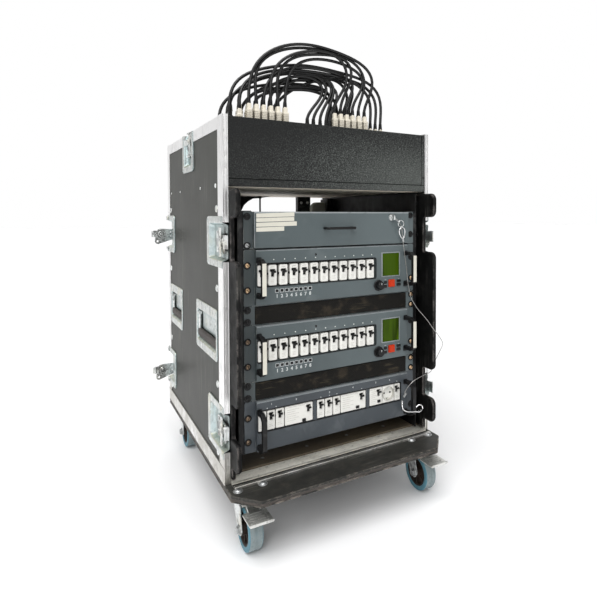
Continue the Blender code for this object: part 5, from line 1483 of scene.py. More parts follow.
screw_parts = {}


def rack_screw(x, z, y=-269.5, kind="brass", turn=0.4):
    """A rack screw on its washer, with a slot."""
    washer = screw_parts.setdefault("washers", Piece("screw_washers", "black_plastic", angle=44))
    head = screw_parts.setdefault(kind, Piece(f"screw_heads_{kind}", kind, angle=44))
    # Painted shade: the slot is a thin black bar on the head.
    slot = screw_parts.setdefault("slots", Piece("screw_slots", "painted_shade_black", angle=44))
    washer.lathe([(8.6, y + 0.1), (8.6, y - 0.9), (7.6, y - 1.7), (5.0, y - 1.8), (5.0, y)], (x, z), 1, 24)
    head.lathe([(5.4, y - 1.0), (5.4, y - 2.2), (4.9, y - 3.2), (3.6, y - 4.0), (0.0, y - 4.3)], (x, z), 1, 20)
    m = Matrix.Translation((x, y - 4.25, z)) @ Matrix.Rotation(turn, 4, "Y")
    slot.box((-4.3, 4.3), (-0.2, 0.6), (-0.6, 0.6), 0, 1, m)


# ================================================================ vented panels
for tag, c in zip(("upper", "lower"), (521.1, 343.3)):
    plate = Piece(f"vent_plate_{tag}", "rack_paint", nodes=(f"vent_panel_{tag}",), angle=40)
    plate.pillow(rect((-241.3, 241.3), (c - 22.0, c + 22.0), 3.5, 4), 1, -269.5, -267.1, 0.5, 2)
    plate.place()
    mesh_face = Piece(f"vent_face_{tag}", "vent", angle=40)
    mesh_face.pillow(rect((-215.0, 215.0), (c - 20.5, c + 20.5), 1.2, 3), 1, -272.4, -268.6, 1.2, 3)
    mesh_face.place()
    for s in (-1, 1):
        for dz, kind in ((-14.0, "screw_black"), (14.0, "screw_black")):
            rack_screw(s * 233.0, c + dz, -269.5, "brass" if s > 0 else kind, 0.5 * s + dz * 0.1)

# ================================================================ dimmers and power unit
FACE = -279.5
BREAKERS = [-201.1 + 27.1 * k for k in range(12)]


def bow_handles(tag, c, taped):
    outline = rounded(
        [(FACE, c + 46.0), (-305.0, c + 46.0), (-321.5, c + 37.0), (-321.5, c - 37.0), (-305.0, c - 46.0), (FACE, c - 46.0),
         (FACE, c - 36.5), (-303.5, c - 36.5), (-310.5, c - 31.0), (-310.5, c + 31.0), (-303.5, c + 36.5), (FACE, c + 36.5)],
        [0, 3.5, 4.5, 4.5, 3.5, 0, 0, 2.5, 3.0, 3.0, 2.5, 0], 3,
    )
    bar = Piece(f"handles_{tag}", "black_paint", angle=40)
    for s in (-1, 1):
        bar.pillow(outline, 0, s * 210.0 - 5.4, s * 210.0 + 5.4, 1.4, 2)
    bar.place()
    feet = Piece(f"handle_feet_{tag}", "black_plastic", angle=40)
    for s in (-1, 1):
        for z in (c - 41.3, c + 41.3):
            feet.pillow(rect((s * 208.5 - 6.5, s * 208.5 + 6.5), (z - 7.0, z + 7.0), 2.5, 3), 1, -281.3, FACE + 0.3, 0.8, 2)
    feet.place()
    if taped:
        tape = Piece(f"handle_tapes_{tag}", "tape", angle=40)
        for s, lo, hi in ((-1, -36.8, 37.0), (1, -34.0, 37.0)):
            x = s * 210.0
            tape.pillow(rect((x - 4.9, x + 4.9), (c + lo, c + hi), 0.8, 2), 1, -322.0, -321.2, 0.3, 1)
        tape.place()


def unit_front(tag, c, low, high, window, pockets, node):
    """A folded front: flat ears, a raised middle with a window, and pockets cut in it."""
    front = Piece(f"front_{tag}", "shaded_rack_paint" if tag == "power" else "rack_paint", nodes=(node,), angle=36)
    front.pillow(rect((-241.3, 241.3), (low, high), 4.5, 4), 1, -269.5, -267.0, 0.6, 2)
    middle = Piece("middle", "rack_paint")
    middle.pillow(rect((-215.0, 215.0), (low + 1.5, high - 1.5), 2.0, 3), 1, FACE, -268.5, 1.3, 3, ends=(True, False))
    tools = Piece("tools", "rack_paint")
    tools.prism(rect(window[0], window[1], 5.0, 5), 1, -300.0, -255.0, 0)
    for x, z, deep, r in pockets:
        tools.prism(rect(x, z, r, 3) if r else rect(x, z), 1, -300.0, deep, 0)
    front.join(middle)
    front.cut(tools)
    front.place()
    rim = Piece(f"window_rim_{tag}", "black_plastic", angle=40)
    rim.prism(rect((window[0][0] - 0.9, window[0][1] + 1.2), (window[1][0] - 1.2, window[1][1] + 1.2), 6.0, 5), 1, FACE - 0.5, FACE + 2.0, 0.3, 1)
    rim.cut(Piece("hole", "black_plastic").prism(offset(rect(window[0], window[1], 5.0, 5), 0.3), 1, FACE - 5.0, FACE + 5.0, 0))
    rim.place()
    # Painted shade: a black sheet behind the window, seen between the modules.
    well = Piece(f"window_back_{tag}", "painted_shade_black")
    well.box((window[0][0] + 0.5, window[0][1] - 0.5), (-266.9, -263.0), (window[1][0] + 0.5, window[1][1] - 0.5), 0, 1)
    well.place()
    # Painted highlight: a pale lip along the top edge of the raised front.
    top_line = Piece(f"front_arris_{tag}", "rack_edge", angle=40)
    top_line.prism(rounded([(FACE + 0.3, high - 4.1), (FACE - 0.35, high - 3.4), (FACE + 0.6, high - 1.5), (FACE + 2.4, high - 1.0), (-268.8, high - 1.0), (-268.8, high - 1.9), (FACE + 2.6, high - 2.2)], [0, 0.3, 1.2, 0.6, 0, 0, 0], 2), 0, -214.2, 214.2, 0.1, 1)
    top_line.place()


def slot_shape(x, z, wide=6.8, low=-7.4, mid=4.6, high=11.0):
    """The slot of a toggle: narrow below, wide above."""
    shape = [(x - 3.7, z + low), (x + 3.7, z + low), (x + 3.7, z + mid), (x + wide, z + mid), (x + wide, z + high), (x - wide, z + high), (x - wide, z + mid), (x - 3.7, z + mid)]
    return Piece("slot", "breaker_white").prism(rounded(shape, [0.8, 0.8, 0.8, 1, 1.4, 1.4, 1, 0.8], 2), 1, -290.0, -272.0, 0)


def breaker(shell, floors, marks, x, c, lo, hi, half, lever_z):
    """One rail-mounted breaker: a white body with a slot for its toggle, and a few faint marks."""
    part = Piece("module", "breaker_white")
    part.pillow(rect((x - half, x + half), (c + lo, c + hi), 3.0, 4), 1, -277.6, -266.6, 1.0, 3, ends=(True, False))
    part.cut(slot_shape(x, c + lever_z))
    shell.add(part)
    # Painted shade: a black floor at the bottom of the toggle slot.
    floors.box((x - 7.0, x + 7.0), (-272.6, -271.6), (c + lever_z - 7.9, c + lever_z + 11.4), 0, 1)
    marks.box((x - 4.6, x + 4.2), (-277.9, -277.5), (c + hi - 5.2, c + hi - 4.4), 0, 1)
    marks.box((x - 4.6, x - 3.8), (-277.9, -277.5), (c + hi - 7.4, c + hi - 4.6), 0, 1)
    for dz, right in ((6.0, 4.4), (9.4, 2.4), (12.8, 3.6)):
        marks.box((x - 5.0, x + right), (-277.9, -277.5), (c + lo + dz, c + lo + dz + 0.5), 0, 1)


def lever_bar(tag, xs, ends, z, wide=6.2):
    body = f"breaker_levers_{tag}"
    bar = Piece(f"levers_{tag}", "black_plastic", body=body, nodes=(body,), angle=40)
    for lo, hi in zip(ends[::2], ends[1::2]):
        bar.lathe([(2.4, lo), (2.9, lo + 0.6), (2.9, hi - 0.6), (2.4, hi)], (-274.0, z), 0, 18)
    lift = math.radians(25)
    for x in xs:
        m = Matrix.Translation((x, -274.0, z)) @ Matrix.Rotation(-lift, 4, "X")
        bar.pillow(rounded([(-3.3, 1.6), (3.3, 1.6), (3.3, -9.5), (-3.3, -9.5)], 0.6, 2), 2, -2.1, 2.1, 0.5, 2, m)
        bar.pillow(rounded([(-wide, -8.6), (wide, -8.6), (wide - 0.6, -14.0), (-wide + 0.6, -14.0)], 1.6, 3), 2, -2.3, 2.7, 1.1, 3, m)
    bar.place()


def chassis_rear(tag, c, low, top):
    """The steel case behind a front: folded lid, screws, vents, and sockets on the back."""
    z0, z1 = low + 3.0, top
    shell = Piece(f"chassis_{tag}", "galvanised", angle=36)
    shell.box((-217.0, 217.0), (-266.6, 168.6), (z0, z1), 1.2, 2)
    shell.place(nodes=({"power": "power_chassis"}.get(tag, f"dimmer_{tag}_chassis"),))
    rear = Piece(f"chassis_back_{tag}", "black_paint", angle=36)
    rear.pillow(rect((-215.6, 215.6), (z0 + 1.2, z1 - 1.2), 2.5, 3), 1, 168.2, 170.6, 0.6, 2)
    rear.place()
    bits = Piece(f"chassis_back_parts_{tag}", "black_plastic", angle=44)
    rims = Piece(f"chassis_back_rims_{tag}", "galvanised", angle=44)
    mid = (z0 + z1) / 2
    for x in (-150.0, -75.0, 0.0, 75.0):
        outer = [(25.0, 170.4), (25.0, 172.4), (23.4, 173.8), (20.0, 173.8), (18.6, 172.6), (18.6, 171.4), (0.0, 171.4)]
        bits.lathe(outer, (x, mid), 1, 36)
        rims.lathe([(27.4, 170.3), (27.4, 171.4), (26.6, 171.8), (24.8, 171.8), (24.8, 170.3)], (x, mid), 1, 36, ring=True)
        for k in range(3):
            t = 0.5 + 2 * math.pi * k / 3
            rims.lathe([(2.0, 171.2), (2.0, 173.6), (1.4, 174.0), (0.0, 174.0)], (x + 9 * math.cos(t), mid + 9 * math.sin(t)), 1, 10)
    for k in range(9):
        bits.pillow(rect((128.0 + 8.6 * k, 132.6 + 8.6 * k), (mid - 26, mid + 26), 2.0, 3), 1, 170.4, 171.2, 0.3, 1)
    for x in (-206.0, 206.0):
        for z in (z0 + 9.0, z1 - 9.0):
            rims.lathe([(4.4, 170.4), (4.4, 171.8), (3.4, 172.8), (1.2, 173.0), (0.0, 172.6)], (x, z), 1, 18)
    bits.place()
    rims.place()
    seams = Piece(f"chassis_screws_{tag}", "zinc_dark", angle=50)
    for s in (-1, 1):
        for y in (-220.0, -120.0, -20.0, 80.0, 150.0):
            seams.dome((y, z1 - 9.0), 0, s * 216.9, 3.4, s * 1.4, 14)
    for x in (-190.0, -60.0, 60.0, 190.0):
        for y in (-240.0, 150.0):
            seams.dome((x, y), 2, z1 - 0.1, 3.4, 1.3, 14)
    seams.place()


for tag, c in (("upper", 610.0), ("lower", 432.2)):
    low, high = c - 66.1, c + 66.1
    unit_front(
        tag, c, low, high, ((-213.0, 113.0), (c - 22.0, c + 33.0)),
        [((151.5, 171.7), (c - 48.5, c - 27.7), -271.2, 1.5), ((129.4, 189.6), (c - 20.0, c + 46.6), -277.9, 0)], f"dimmer_{tag}_panel",
    )
    bow_handles(tag, c, True)
    chassis_rear(tag, c, low, c + 64.0)
    shell = Piece(f"breakers_{tag}", "breaker_white", angle=40)
    floors = Piece(f"breaker_slots_{tag}", "painted_shade_black")
    marks = Piece(f"breaker_marks_{tag}", "breaker_grey")
    for x in BREAKERS:
        breaker(shell, floors, marks, x, c, -20.0, 29.0, 10.4, 8.0)
    shell.place()
    floors.place()
    marks.place()
    lever_bar(tag, BREAKERS, (-210.5, 110.5), c + 8.0)

    dots = Piece(f"lamps_{tag}", "lamp", angle=50)
    for x in BREAKERS[1:]:
        dots.dome((x + 2.0, c + 41.5), 1, FACE + 0.1, 1.5, -1.3, 14)
    dots.place()
    pin = Piece(f"front_pin_{tag}", "screw_black", angle=50)
    pin.lathe([(2.7, FACE + 0.2), (2.7, FACE - 0.7), (2.0, FACE - 1.3), (0.0, FACE - 1.5)], (-63.0, c + 49.0), 1, 16)
    pin.place()

    frame_ring = Piece(f"display_frame_{tag}", "rack_edge", angle=36)
    frame_ring.pillow(rect((129.8, 189.2), (c - 19.6, c + 46.2), 1.5, 3), 1, -280.4, -278.0, 0.5, 2)
    frame_ring.cut(Piece("o", "rack_edge").prism(rect((132.6, 186.6), (c - 17.4, c + 43.8), 1.0, 2), 1, -290, -270, 0))
    frame_ring.place()
    glass = Piece(f"display_glass_{tag}", "display")
    glass.pillow(rect((132.2, 187.0), (c - 17.8, c + 44.2), 0.6, 2), 1, -279.3, -278.0, 0.3, 1)
    glass.place()

    knob = Piece(f"knob_{tag}", "black_plastic", body=f"encoder_{tag}", nodes=(f"encoder_{tag}",), angle=30)
    kx, kz = 120.0, c - 41.0
    knob.lathe([(14.2, FACE - 0.3), (14.5, FACE - 0.8), (14.5, FACE - 2.6), (13.6, FACE - 3.6), (11.2, FACE - 4.2), (0.0, FACE - 4.2)], (kx, kz), 1, 40)
    rings = []
    for h, r in ((-4.0, 11.4), (-15.0, 10.6), (-16.4, 9.8)):
        rings.append(([(kx + (r - (0.7 if k % 2 else 0.0)) * math.cos(math.pi * k / 24), kz + (r - (0.7 if k % 2 else 0.0)) * math.sin(math.pi * k / 24)) for k in range(48)], FACE + h))
    rings.append((ring_points(48, 8.6, kx, kz), FACE - 17.0))
    knob.loft(rings, 1)
    knob.place()
    pointer = Piece(f"knob_mark_{tag}", "print_pale", body=f"encoder_{tag}")
    pointer.box((kx - 0.7, kx + 0.7), (FACE - 17.3, FACE - 16.7), (kz + 3.0, kz + 8.2), 0.1, 1)
    pointer.place()
    red = Piece(f"red_button_{tag}", "red_plastic", body=f"red_key_{tag}", nodes=(f"red_key_{tag}",), angle=40)
    red.pillow(rect((152.0, 171.2), (c - 48.0, c - 28.2), 1.6, 3), 1, -283.2, -275.2, 1.2, 3)
    red.pillow(rect((154.5, 168.7), (c - 45.5, c - 30.7), 1.6, 3), 1, -284.8, -282.8, 0.9, 3)
    red.place()
    keys = Piece(f"small_keys_{tag}", "black_plastic", angle=40)
    for x, z in (((137.9, 146.9), (-49.0, -41.6)), ((137.9, 146.9), (-38.4, -31.0)), ((178.5, 191.5), (-36.4, -29.6)), ((178.5, 191.5), (-46.6, -39.2)), ((201.0, 212.0), (-50.0, -35.5))):
        keys.pillow(rect(x, (c + z[0], c + z[1]), 1.2, 3), 1, -281.8, FACE + 0.2, 0.8, 2)
    keys.place()
    prints = Piece(f"prints_{tag}", "print_pale", angle=40)
    prints.box((139.0, 145.8), (FACE - 0.15, FACE + 0.1), (c - 40.4, c - 39.6), 0, 1)
    for x in (140.0, 183.0):
        prints.box((x, x + 4.6), (FACE - 0.15, FACE + 0.1), (c - 28.0, c - 27.2), 0, 1)
    for k in range(8):
        x = -164.0 + 12.2 * k
        for a, b, d, e in ((x - 4.9, x + 4.9, c - 29.4, c - 28.4), (x - 4.9, x + 4.9, c - 37.4, c - 36.4), (x - 4.9, x - 3.9, c - 37.4, c - 28.4), (x + 3.9, x + 4.9, c - 37.4, c - 28.4)):
            prints.box((a, b), (FACE - 0.15, FACE + 0.1), (d, e), 0, 1)
        prints.text(str(k + 1), 11.5, x, FACE - 0.05, c - 46.0)
    prints.place()
    squares = Piece(f"legend_squares_{tag}", "black_plastic")
    for k in range(8):
        x = -164.0 + 12.2 * k
        squares.box((x - 3.9, x + 3.9), (FACE - 0.1, FACE + 0.1), (c - 36.5, c - 29.3), 0, 1)
    squares.place()
    for s in (-1, 1):
        for dz in (-29.0, 29.0):
            kind = "screw_black" if s > 0 and dz > 0 else "bronze" if s < 0 and tag == "lower" else "brass"
            rack_screw(s * 233.0, c + dz, -269.5, kind, 0.6 * s + dz * 0.05)

# ---- power unit
c = 254.4
low, high = 200.4, 320.5
unit_front("power", c, low, high, ((-213.0, 193.0), (c - 8.0, c + 43.0)), [], "power_panel")
bow_handles("power", c, False)
chassis_rear("power", c, low, c + 64.0)
shell = Piece("modules_power", "breaker_white", angle=40)
# Painted shade: black floors at the bottom of the toggle slots.
floors = Piece("module_slots_power", "painted_shade_black")
marks = Piece("module_marks_power", "breaker_grey")
for a, b, lever in (
    (-211.6, -190.6, -200.5), (-189.6, -169.4, -179.5), (-168.4, -146.4, -157.5), (-60.1, -38.6, -49.5), (-37.6, -16.2, -26.7), (-15.2, 5.6, -4.5), (173.0, 192.2, 179.8),
):
    part = Piece("m", "breaker_white").pillow(rect((a + 0.6, b - 0.6), (c - 6.0, c + 40.0), 2.0, 3), 1, -277.6, -266.6, 1.0, 3, ends=(True, False))
    part.cut(slot_shape(lever, c + 24.0, 5.6))
    shell.add(part)
    floors.box((lever - 5.8, lever + 5.8), (-272.6, -271.6), (c + 16.0, c + 35.4), 0, 1)
    marks.box((a + 5.0, b - 5.0), (-277.9, -277.5), (c + 36.0, c + 36.7), 0, 1)
    marks.box((a + 5.0, b - 6.0), (-277.9, -277.5), (c + 2.0, c + 2.6), 0, 1)
    marks.box((a + 5.0, b - 8.0), (-277.9, -277.5), (c + 6.0, c + 6.6), 0, 1)
for a, b, lever in ((-145.4, -71.0, -83.3), (6.6, 82.1, 68.6), (93.2, 133.6, 121.8)):
    part = Piece("m", "breaker_white").pillow(rect((a + 0.6, b - 0.6), (c - 6.0, c + 40.0), 2.0, 3), 1, -277.6, -266.6, 1.0, 3, ends=(True, False))
    part.cut(slot_shape(lever, c + 24.0, 6.2))
    shell.add(part)
    floors.box((lever - 6.4, lever + 6.4), (-272.6, -271.6), (c + 16.0, c + 35.4), 0, 1)
    for k in range(6):
        marks.box((a + 6.0, a + 6.0 + (b - a) * (0.42 if k % 2 else 0.3)), (-277.9, -277.5), (c + 4.0 + 5.2 * k, c + 4.6 + 5.2 * k), 0, 1)
    marks.box((a + 4.0, lever - 10.0), (-277.9, -277.5), (c + 36.2, c + 36.8), 0, 1)
shell.place()
floors.place()
marks.place()
lever_bar("power", (-200.5, -179.5, -157.5, -91.0 + 7.7, -49.5, -26.7, -4.5, 68.6, 121.8, 179.8), (-210.5, 134.9, 171.9, 190.5), c + 24.0, 5.2)
bars = Piece("blank_bars_power", "shaded_rack_paint", angle=40)
for a, b in ((-70.2, -60.9), (82.9, 92.4)):
    bars.pillow(rect((a, b), (c - 8.3, c + 43.3), 1.0, 2), 1, -278.6, -268.0, 0.8, 2)
bars.place()
tests = Piece("test_buttons_power", "black_plastic", angle=40)
for x, z in ((-95.4, 253.3), (56.5, 254.9), (122.6, 257.3)):
    tests.pillow(rect((x - 4.6, x + 4.6), (z - 3.6, z + 3.6), 0.8, 2), 1, -280.0, -277.3, 0.7, 2)
tests.place()
outlet = Piece("mains_socket", "breaker_white", angle=40)
outlet.pillow(rect((134.6, 172.2), (c - 6.0, c + 40.0), 2.0, 3), 1, -277.0, -266.6, 1.0, 3, ends=(True, False))
outlet.cut(Piece("w", "breaker_white").lathe([(17.0, -290.0), (17.0, -272.0), (15.6, -270.5), (0.0, -270.5)], (153.4, c + 17.6), 1, 40))
outlet.place()
ring = Piece("mains_socket_ring", "breaker_grey", angle=40)
ring.lathe([(18.6, -276.8), (18.6, -278.2), (17.8, -278.8), (16.9, -278.4), (16.7, -272.0), (17.4, -272.0), (17.4, -276.8)], (153.4, c + 17.6), 1, 44, ring=True)
ring.place()
# Painted shade: black discs stand for the dark of the pin holes.
holes2 = Piece("mains_socket_holes", "painted_shade_black", angle=40)
for dx in (-9.5, 9.5):
    holes2.lathe([(2.6, -270.8), (2.6, -270.2), (0.0, -270.2)], (153.4 + dx, c + 17.6), 1, 16)
holes2.place()
clips = Piece("mains_socket_clips", "zinc", angle=40)
for dz in (-14.6, 14.6):
    clips.box((151.0, 155.8), (-277.4, -270.8), (c + 17.6 + dz - 1.2, c + 17.6 + dz + 1.2), 0.5, 2)
clips.place()
prints = Piece("prints_power", "print_pale", angle=40)
for x in (-190.0, -168.0, -50.0, -26.0, -5.0, 68.0, 180.0):
    prints.box((x - 1.1, x + 1.1), (FACE - 0.15, FACE + 0.1), (c + 46.0, c + 48.0), 0, 1)
for k, x in enumerate((-179.0, -116.0, -26.0, 42.0, 112.0, 156.0)):
    prints.text(str(k + 1), 6.4, x, FACE - 0.05, c + 54.6)
prints.place()
for s in (-1, 1):
    for dz in (-28.0, 28.0):
        rack_screw(s * 233.0, c + dz, -269.5, "bronze" if s < 0 else "screw_black", 0.8 * s + dz * 0.1)

# ================================================================ drawer
sleeve = Piece("drawer_sleeve", "rack_paint", nodes=("drawer_housing",), angle=36)
sleeve.box((-219.3, 219.3), (-269.0, 150.0), (678.2, 764.2), 0)
sleeve.cut(Piece("i", "rack_paint").box((-217.8, 217.8), (-290.0, 148.5), (679.7, 762.7), 0))
sleeve.place()
ears = Piece("drawer_ears", "rack_paint", angle=36)
for s in (-1, 1):
    ears.pillow(rect((s * 241.3, s * 218.2) if s < 0 else (218.2, 241.3), (677.6, 764.8), 3.5, 4), 1, -269.5, -267.0, 0.6, 2)
ears.place()
front = Piece("drawer_front", "rack_paint", body="drawer", nodes=("drawer",), angle=36)
front.pillow(rect((-218.4, 218.4), (679.0, 763.4), 1.6, 3), 1, -280.0, -269.9, 1.3, 3)
front.place()
tray = Piece("drawer_tray", "galvanised", body="drawer", angle=36)
tray.box((-214.0, 214.0), (-270.4, 140.0), (681.0, 751.4), 0)
tray.cut(Piece("i", "rack_paint").box((-212.4, 212.4), (-267.5, 138.4), (682.6, 790.0), 0))
tray.place()
runners = Piece("drawer_runners", "zinc_dark", body="drawer", angle=40)
for s in (-1, 1):
    runners.box((s * 214.0, s * 216.6) if s > 0 else (-216.6, -214.0), (-262.0, 136.0), (704.0, 722.0), 0.6, 2)
    for y in (-240.0, -60.0, 110.0):
        runners.dome((y, 713.0), 0, s * 216.4, 4.0, s * 0.9, 14)
runners.place()
# Painted highlight: pale strips along the top and left edges of the drawer front.
lines = Piece("drawer_highlight", "rack_edge", body="drawer", angle=40)
lines.prism(rounded([(-280.3, 760.4), (-280.3, 762.4), (-279.2, 763.9), (-276.6, 764.0), (-276.6, 763.3), (-279.6, 760.4)], [0, 0.6, 0.6, 0, 0, 0], 2), 0, -217.6, 217.6, 0.1, 1)
lines.box((-218.7, -217.3), (-280.2, -278.0), (680.0, 762.6), 0.3, 1)
lines.place()
pull = Piece("drawer_pull", "black_paint", body="drawer", angle=40)
pull.pillow(
    rounded([(-42.0, -279.8), (-42.0, -299.0), (-36.5, -305.5), (36.5, -305.5), (42.0, -299.0), (42.0, -279.8), (33.5, -279.8), (33.5, -292.5), (29.5, -297.2), (-29.5, -297.2), (-33.5, -292.5), (-33.5, -279.8)],
            [0, 5, 5, 5, 5, 0, 0, 3, 3, 3, 3, 0], 4),
    2, 720.0, 726.6, 2.2, 3,
)
pull.place()
tapes = Piece("drawer_tapes", "tape", body="drawer", angle=40)
for (u0, u1), (v0, v1), (w0, w1) in (((256.3, 294.4), (213.6, 217.6), (212.2, 216.4)), ((256.2, 294.2), (218.2, 222.1), (216.9, 220.9)), ((256.2, 296.8), (222.8, 226.9), (221.4, 225.6)), ((256.2, 284.2), (227.6, 231.8), (226.4, 230.8))):
    corners = [seen(u0, v1, -280.2), seen(u1, w1, -280.2), seen(u1, w0, -280.2), seen(u0, v0, -280.2)]
    tapes.prism(rounded([(p.x, p.z) for p in corners], 0.9, 2), 1, -280.6, -279.9, 0.15, 1)
tapes.place()

hub = Piece("lock_hub", "zinc", body="drawer_lock", nodes=("drawer_lock",), angle=36)
hub.lathe([(9.0, -280.3), (9.0, -282.6), (8.2, -283.8), (6.4, -284.4), (6.2, -285.6), (5.4, -286.2), (0.0, -286.2)], (161.0, 749.4), 1, 32)
hub.pillow(rounded([(-285.2, 741.4), (-296.5, 742.0), (-296.5, 756.4), (-285.2, 757.4)], [0, 4.5, 4.5, 0], 4), 0, 158.6, 163.4, 0.9, 2)
hub.cut(Piece("e", "zinc").lathe([(2.6, 150.0), (2.6, 172.0)], (-291.0, 746.4), 0, 16))
hub.place()

# ================================================================ safety wire
WIRE = [
    (172, -289, 741), (183, -288, 734), (191, -286, 720), (194, -285, 700), (197, -289, 660), (198.5, -298, 610), (199, -308, 560), (203, -316, 530),
    (215, -326, 505), (238, -336, 475), (260, -337.5, 447), (280, -336.5, 425), (296, -332, 406), (300.5, -327, 394), (297, -319, 375), (291, -312, 355),
    (286, -309, 338), (275, -307.5, 320), (250, -309.5, 314.5), (228, -314.5, 312), (208, -318, 307.5), (196, -315, 297), (190, -306, 280), (189, -300, 262),
]
wire_route = smooth_route(WIRE, 58)
wire_fine = smooth_route(wire_route, 230)


def rope_mesh(points, radius, strands=6, pitch=9.0):
    """A laid rope: its section turns as it goes along."""
    part = bmesh.new()
    up, rows, far = None, [], 0.0
    n = len(points)
    for i, p in enumerate(points):
        t = (points[min(i + 1, n - 1)] - points[max(i - 1, 0)]).normalized()
        if up is None:
            up = t.orthogonal().normalized()
        up = (up - t * up.dot(t)).normalized()
        side = t.cross(up)
        far += (p - points[max(i - 1, 0)]).length
        turn = 2 * math.pi * far / pitch
        row = []
        for k in range(strands * 2):
            a = 2 * math.pi * k / (strands * 2)
            r = radius * (1.0 if k % 2 == 0 else 0.82)
            row.append(part.verts.new(p + (up * math.cos(a + turn) + side * math.sin(a + turn)) * r))
        rows.append(row)
    m = len(rows[0])
    for a, b in zip(rows, rows[1:]):
        for k in range(m):
            part.faces.new((a[k], a[(k + 1) % m], b[(k + 1) % m], b[k]))
    part.faces.new(rows[0][::-1])
    part.faces.new(rows[-1])
    return part


rope = Piece("safety_rope", "wire", angle=180)
rope._take(rope_mesh(wire_fine, 1.1))
rope_obj = rope.make("safety_rope")
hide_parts("safety_wire")
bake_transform(rope_obj)

# ring and thimble at the lock
ring_mid = seen(401.0, 223.6, -290.5)
ring = Piece("lock_ring", "zinc", body="drawer", angle=60)
ring.tube([ring_mid + Vector((9.2 * math.cos(t), 1.2 * math.sin(2 * t), 8.6 * math.sin(t))) for t in (2 * math.pi * k / 40 for k in range(40))], 1.2, 10, closed=True)
ring.place()
shackle = Piece("lock_shackle", "zinc_dark", body="drawer", angle=60)
eye = Vector((163.5, -291.0, 746.4))
shackle.tube(smooth_route([(157.6, -291.0, 743.8), eye + Vector((0.5, -0.2, -1.6)), eye.lerp(ring_mid, 0.5) + Vector((0, -1.6, -1.4)), ring_mid + Vector((-7.6, -1.2, 0.5)), ring_mid + Vector((-8.0, -0.8, 2.2)), eye.lerp(ring_mid, 0.5) + Vector((0, -0.7, 2.4)), eye + Vector((1.6, -0.2, 1.4))], 40), 1.2, 10)
shackle.place()
top, low_end = seen(401.6, 227.6, -289.5), seen(403.0, 240.2, -286.5)
way = (low_end - top).normalized()
across = way.cross(Vector((0, 1, 0))).normalized()
thimble = Piece("wire_thimble", "chrome", body="drawer", angle=60)
drop = []
for k in range(44):
    t = 2 * math.pi * k / 44
    wide = 12.0 * math.sin(t) * (0.5 + 0.5 * math.cos(t * 0.5) ** 2 if t < math.pi else 0.5 + 0.5 * math.cos((2 * math.pi - t) * 0.5) ** 2)
    drop.append(top + way * (15.5 * (1 - math.cos(t))) * 0.98 + across * wide)
thimble.tube(drop, 1.5, 10, closed=True)
thimble.place()
ferrule = Piece("wire_ferrule_top", "zinc_dark", body="drawer", angle=40)
ferrule.tube([low_end - way * 5.0, low_end - way * 4.4, low_end + way * 4.4, low_end + way * 5.0], 2.9, 18)
ferrule.place()

# ferrule and rod loop at the lower end, round the right handle of the power unit
foot = wire_route[-1]
back_way = (wire_route[-6] - foot).normalized()
low_ferrule = Piece("wire_ferrule_low", "zinc_dark", angle=40)
low_ferrule.tube([foot + back_way * 1.0, foot + back_way * 2.0, foot + back_way * 12.0, foot + back_way * 13.0], 3.0, 18)
low_ferrule.place()
hook_way = [seen(402.5, 401, -312), seen(402.2, 405.0, -316), seen(403.2, 409.2, -322), seen(406.2, 411.4, -325), seen(411.2, 411.8, -325.4), seen(415.2, 411.6, -324), seen(419.7, 411.5, -320), seen(422.6, 408.6, -315), seen(421.6, 405.4, -310), seen(418.5, 405.0, -306), seen(416.1, 407.4, -306), seen(414.4, 408.8, -308)]
hook = Piece("wire_hook", "chrome", angle=60)
hook.tube(smooth_route(hook_way, 60), 1.9, 12)
hook.place()

rack_screw(-233.0, 685.5, -269.5, "zinc_dark", 0.7)
rack_screw(-233.0, 753.0, -269.5, "screw_black", 0.2)
rack_screw(231.5, 703.0, -269.5, "screw_black", 1.1)
rack_screw(231.5, 755.0, -269.5, "screw_black", 0.4)
for part in screw_parts.values():
    part.place()

# ================================================================ stage, light
floor_mesh = bpy.data.meshes.new("floor")
floor_mesh.from_pydata([(-30, -30, 0), (30, -30, 0), (30, 30, 0), (-30, 30, 0)], [], [(0, 1, 2, 3)])
floor = bpy.data.objects.new("floor", floor_mesh)
bpy.context.scene.collection.objects.link(floor)
f = Finish("floor_pale", (0.93, 0.93, 0.935), 0.7)
f.cloudy(1.5, 0.006)
floor_mesh.materials.append(f.done())

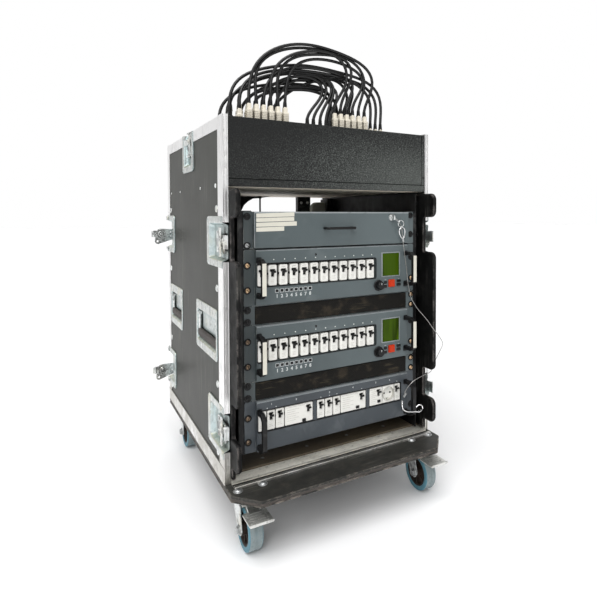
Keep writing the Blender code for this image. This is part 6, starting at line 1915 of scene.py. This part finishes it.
world = bpy.data.worlds.new("studio")
bpy.context.scene.world = world
world.use_nodes = True
wt = world.node_tree
back = wt.nodes["Background"]
coord = wt.nodes.new("ShaderNodeTexCoord")
split = wt.nodes.new("ShaderNodeSeparateXYZ")
wt.links.new(coord.outputs["Generated"], split.inputs["Vector"])
turn = wt.nodes.new("ShaderNodeMath")
turn.operation = "ARCTAN2"
wt.links.new(split.outputs["X"], turn.inputs[0])
wt.links.new(split.outputs["Y"], turn.inputs[1])
share = wt.nodes.new("ShaderNodeMapRange")
share.inputs["From Min"].default_value = -math.pi
share.inputs["From Max"].default_value = math.pi
wt.links.new(turn.outputs["Value"], share.inputs["Value"])
wall = wt.nodes.new("ShaderNodeValToRGB")
wall.color_ramp.interpolation = "B_SPLINE"
stops = [(-180, 0.42), (-140, 0.16), (-112, 0.4), (-92, 0.9), (-70, 0.66), (-48, 0.25), (-26, 0.5), (-14, 1.06), (20, 1.12), (46, 1.12), (64, 1.04), (80, 0.5), (100, 0.12), (128, 0.3), (148, 1.2), (166, 0.4), (180, 0.3)]
ramp_stops = wall.color_ramp.elements
while len(ramp_stops) < len(stops):
    ramp_stops.new(0.5)
for stop, (angle, level) in zip(ramp_stops, stops):
    stop.position = (angle + 180) / 360
    stop.color = (level, level, level, 1)
wt.links.new(share.outputs["Result"], wall.inputs["Fac"])
ceiling = wt.nodes.new("ShaderNodeMapRange")
ceiling.inputs["From Min"].default_value = 0.46
ceiling.inputs["From Max"].default_value = 0.8
ceiling.inputs["To Min"].default_value = 1.0
ceiling.inputs["To Max"].default_value = 0.45
wt.links.new(split.outputs["Z"], ceiling.inputs["Value"])
both = wt.nodes.new("ShaderNodeMath")
both.operation = "MULTIPLY"
wt.links.new(wall.outputs["Color"], both.inputs[0])
wt.links.new(ceiling.outputs["Result"], both.inputs[1])
wt.links.new(both.outputs["Value"], back.inputs["Strength"])
back.inputs["Color"].default_value = (1, 1, 1, 1)


def area(name, place, aim, size, power, colour=(1, 1, 1)):
    data = bpy.data.lights.new(name, "AREA")
    data.shape = "RECTANGLE"
    data.size, data.size_y = size
    data.energy = power
    data.color = colour
    obj = bpy.data.objects.new(name, data)
    bpy.context.scene.collection.objects.link(obj)
    obj.location = place
    obj.rotation_euler = (Vector(aim) - Vector(place)).to_track_quat("-Z", "Y").to_euler()
    return obj


area("key", (-1.9, -3.0, 2.3), (0, 0, 0.55), (1.2, 1.2), 34)
area("side", (-3.4, -0.2, 1.6), (-0.3, 0, 0.5), (0.9, 2.0), 7)

sky = bpy.data.lights.new("sky", "SUN")
sky.energy = 2.5
sky.angle = math.radians(50)
sky_obj = bpy.data.objects.new("sky", sky)
bpy.context.scene.collection.objects.link(sky_obj)
sky_obj.rotation_euler = (Vector((0, 0, 0)) - Vector((-0.24, -0.30, 1.0))).to_track_quat("-Z", "Y").to_euler()

view = bpy.context.scene.view_settings
view.view_transform = "Standard"
view.look = "None"
view.exposure = 0.0
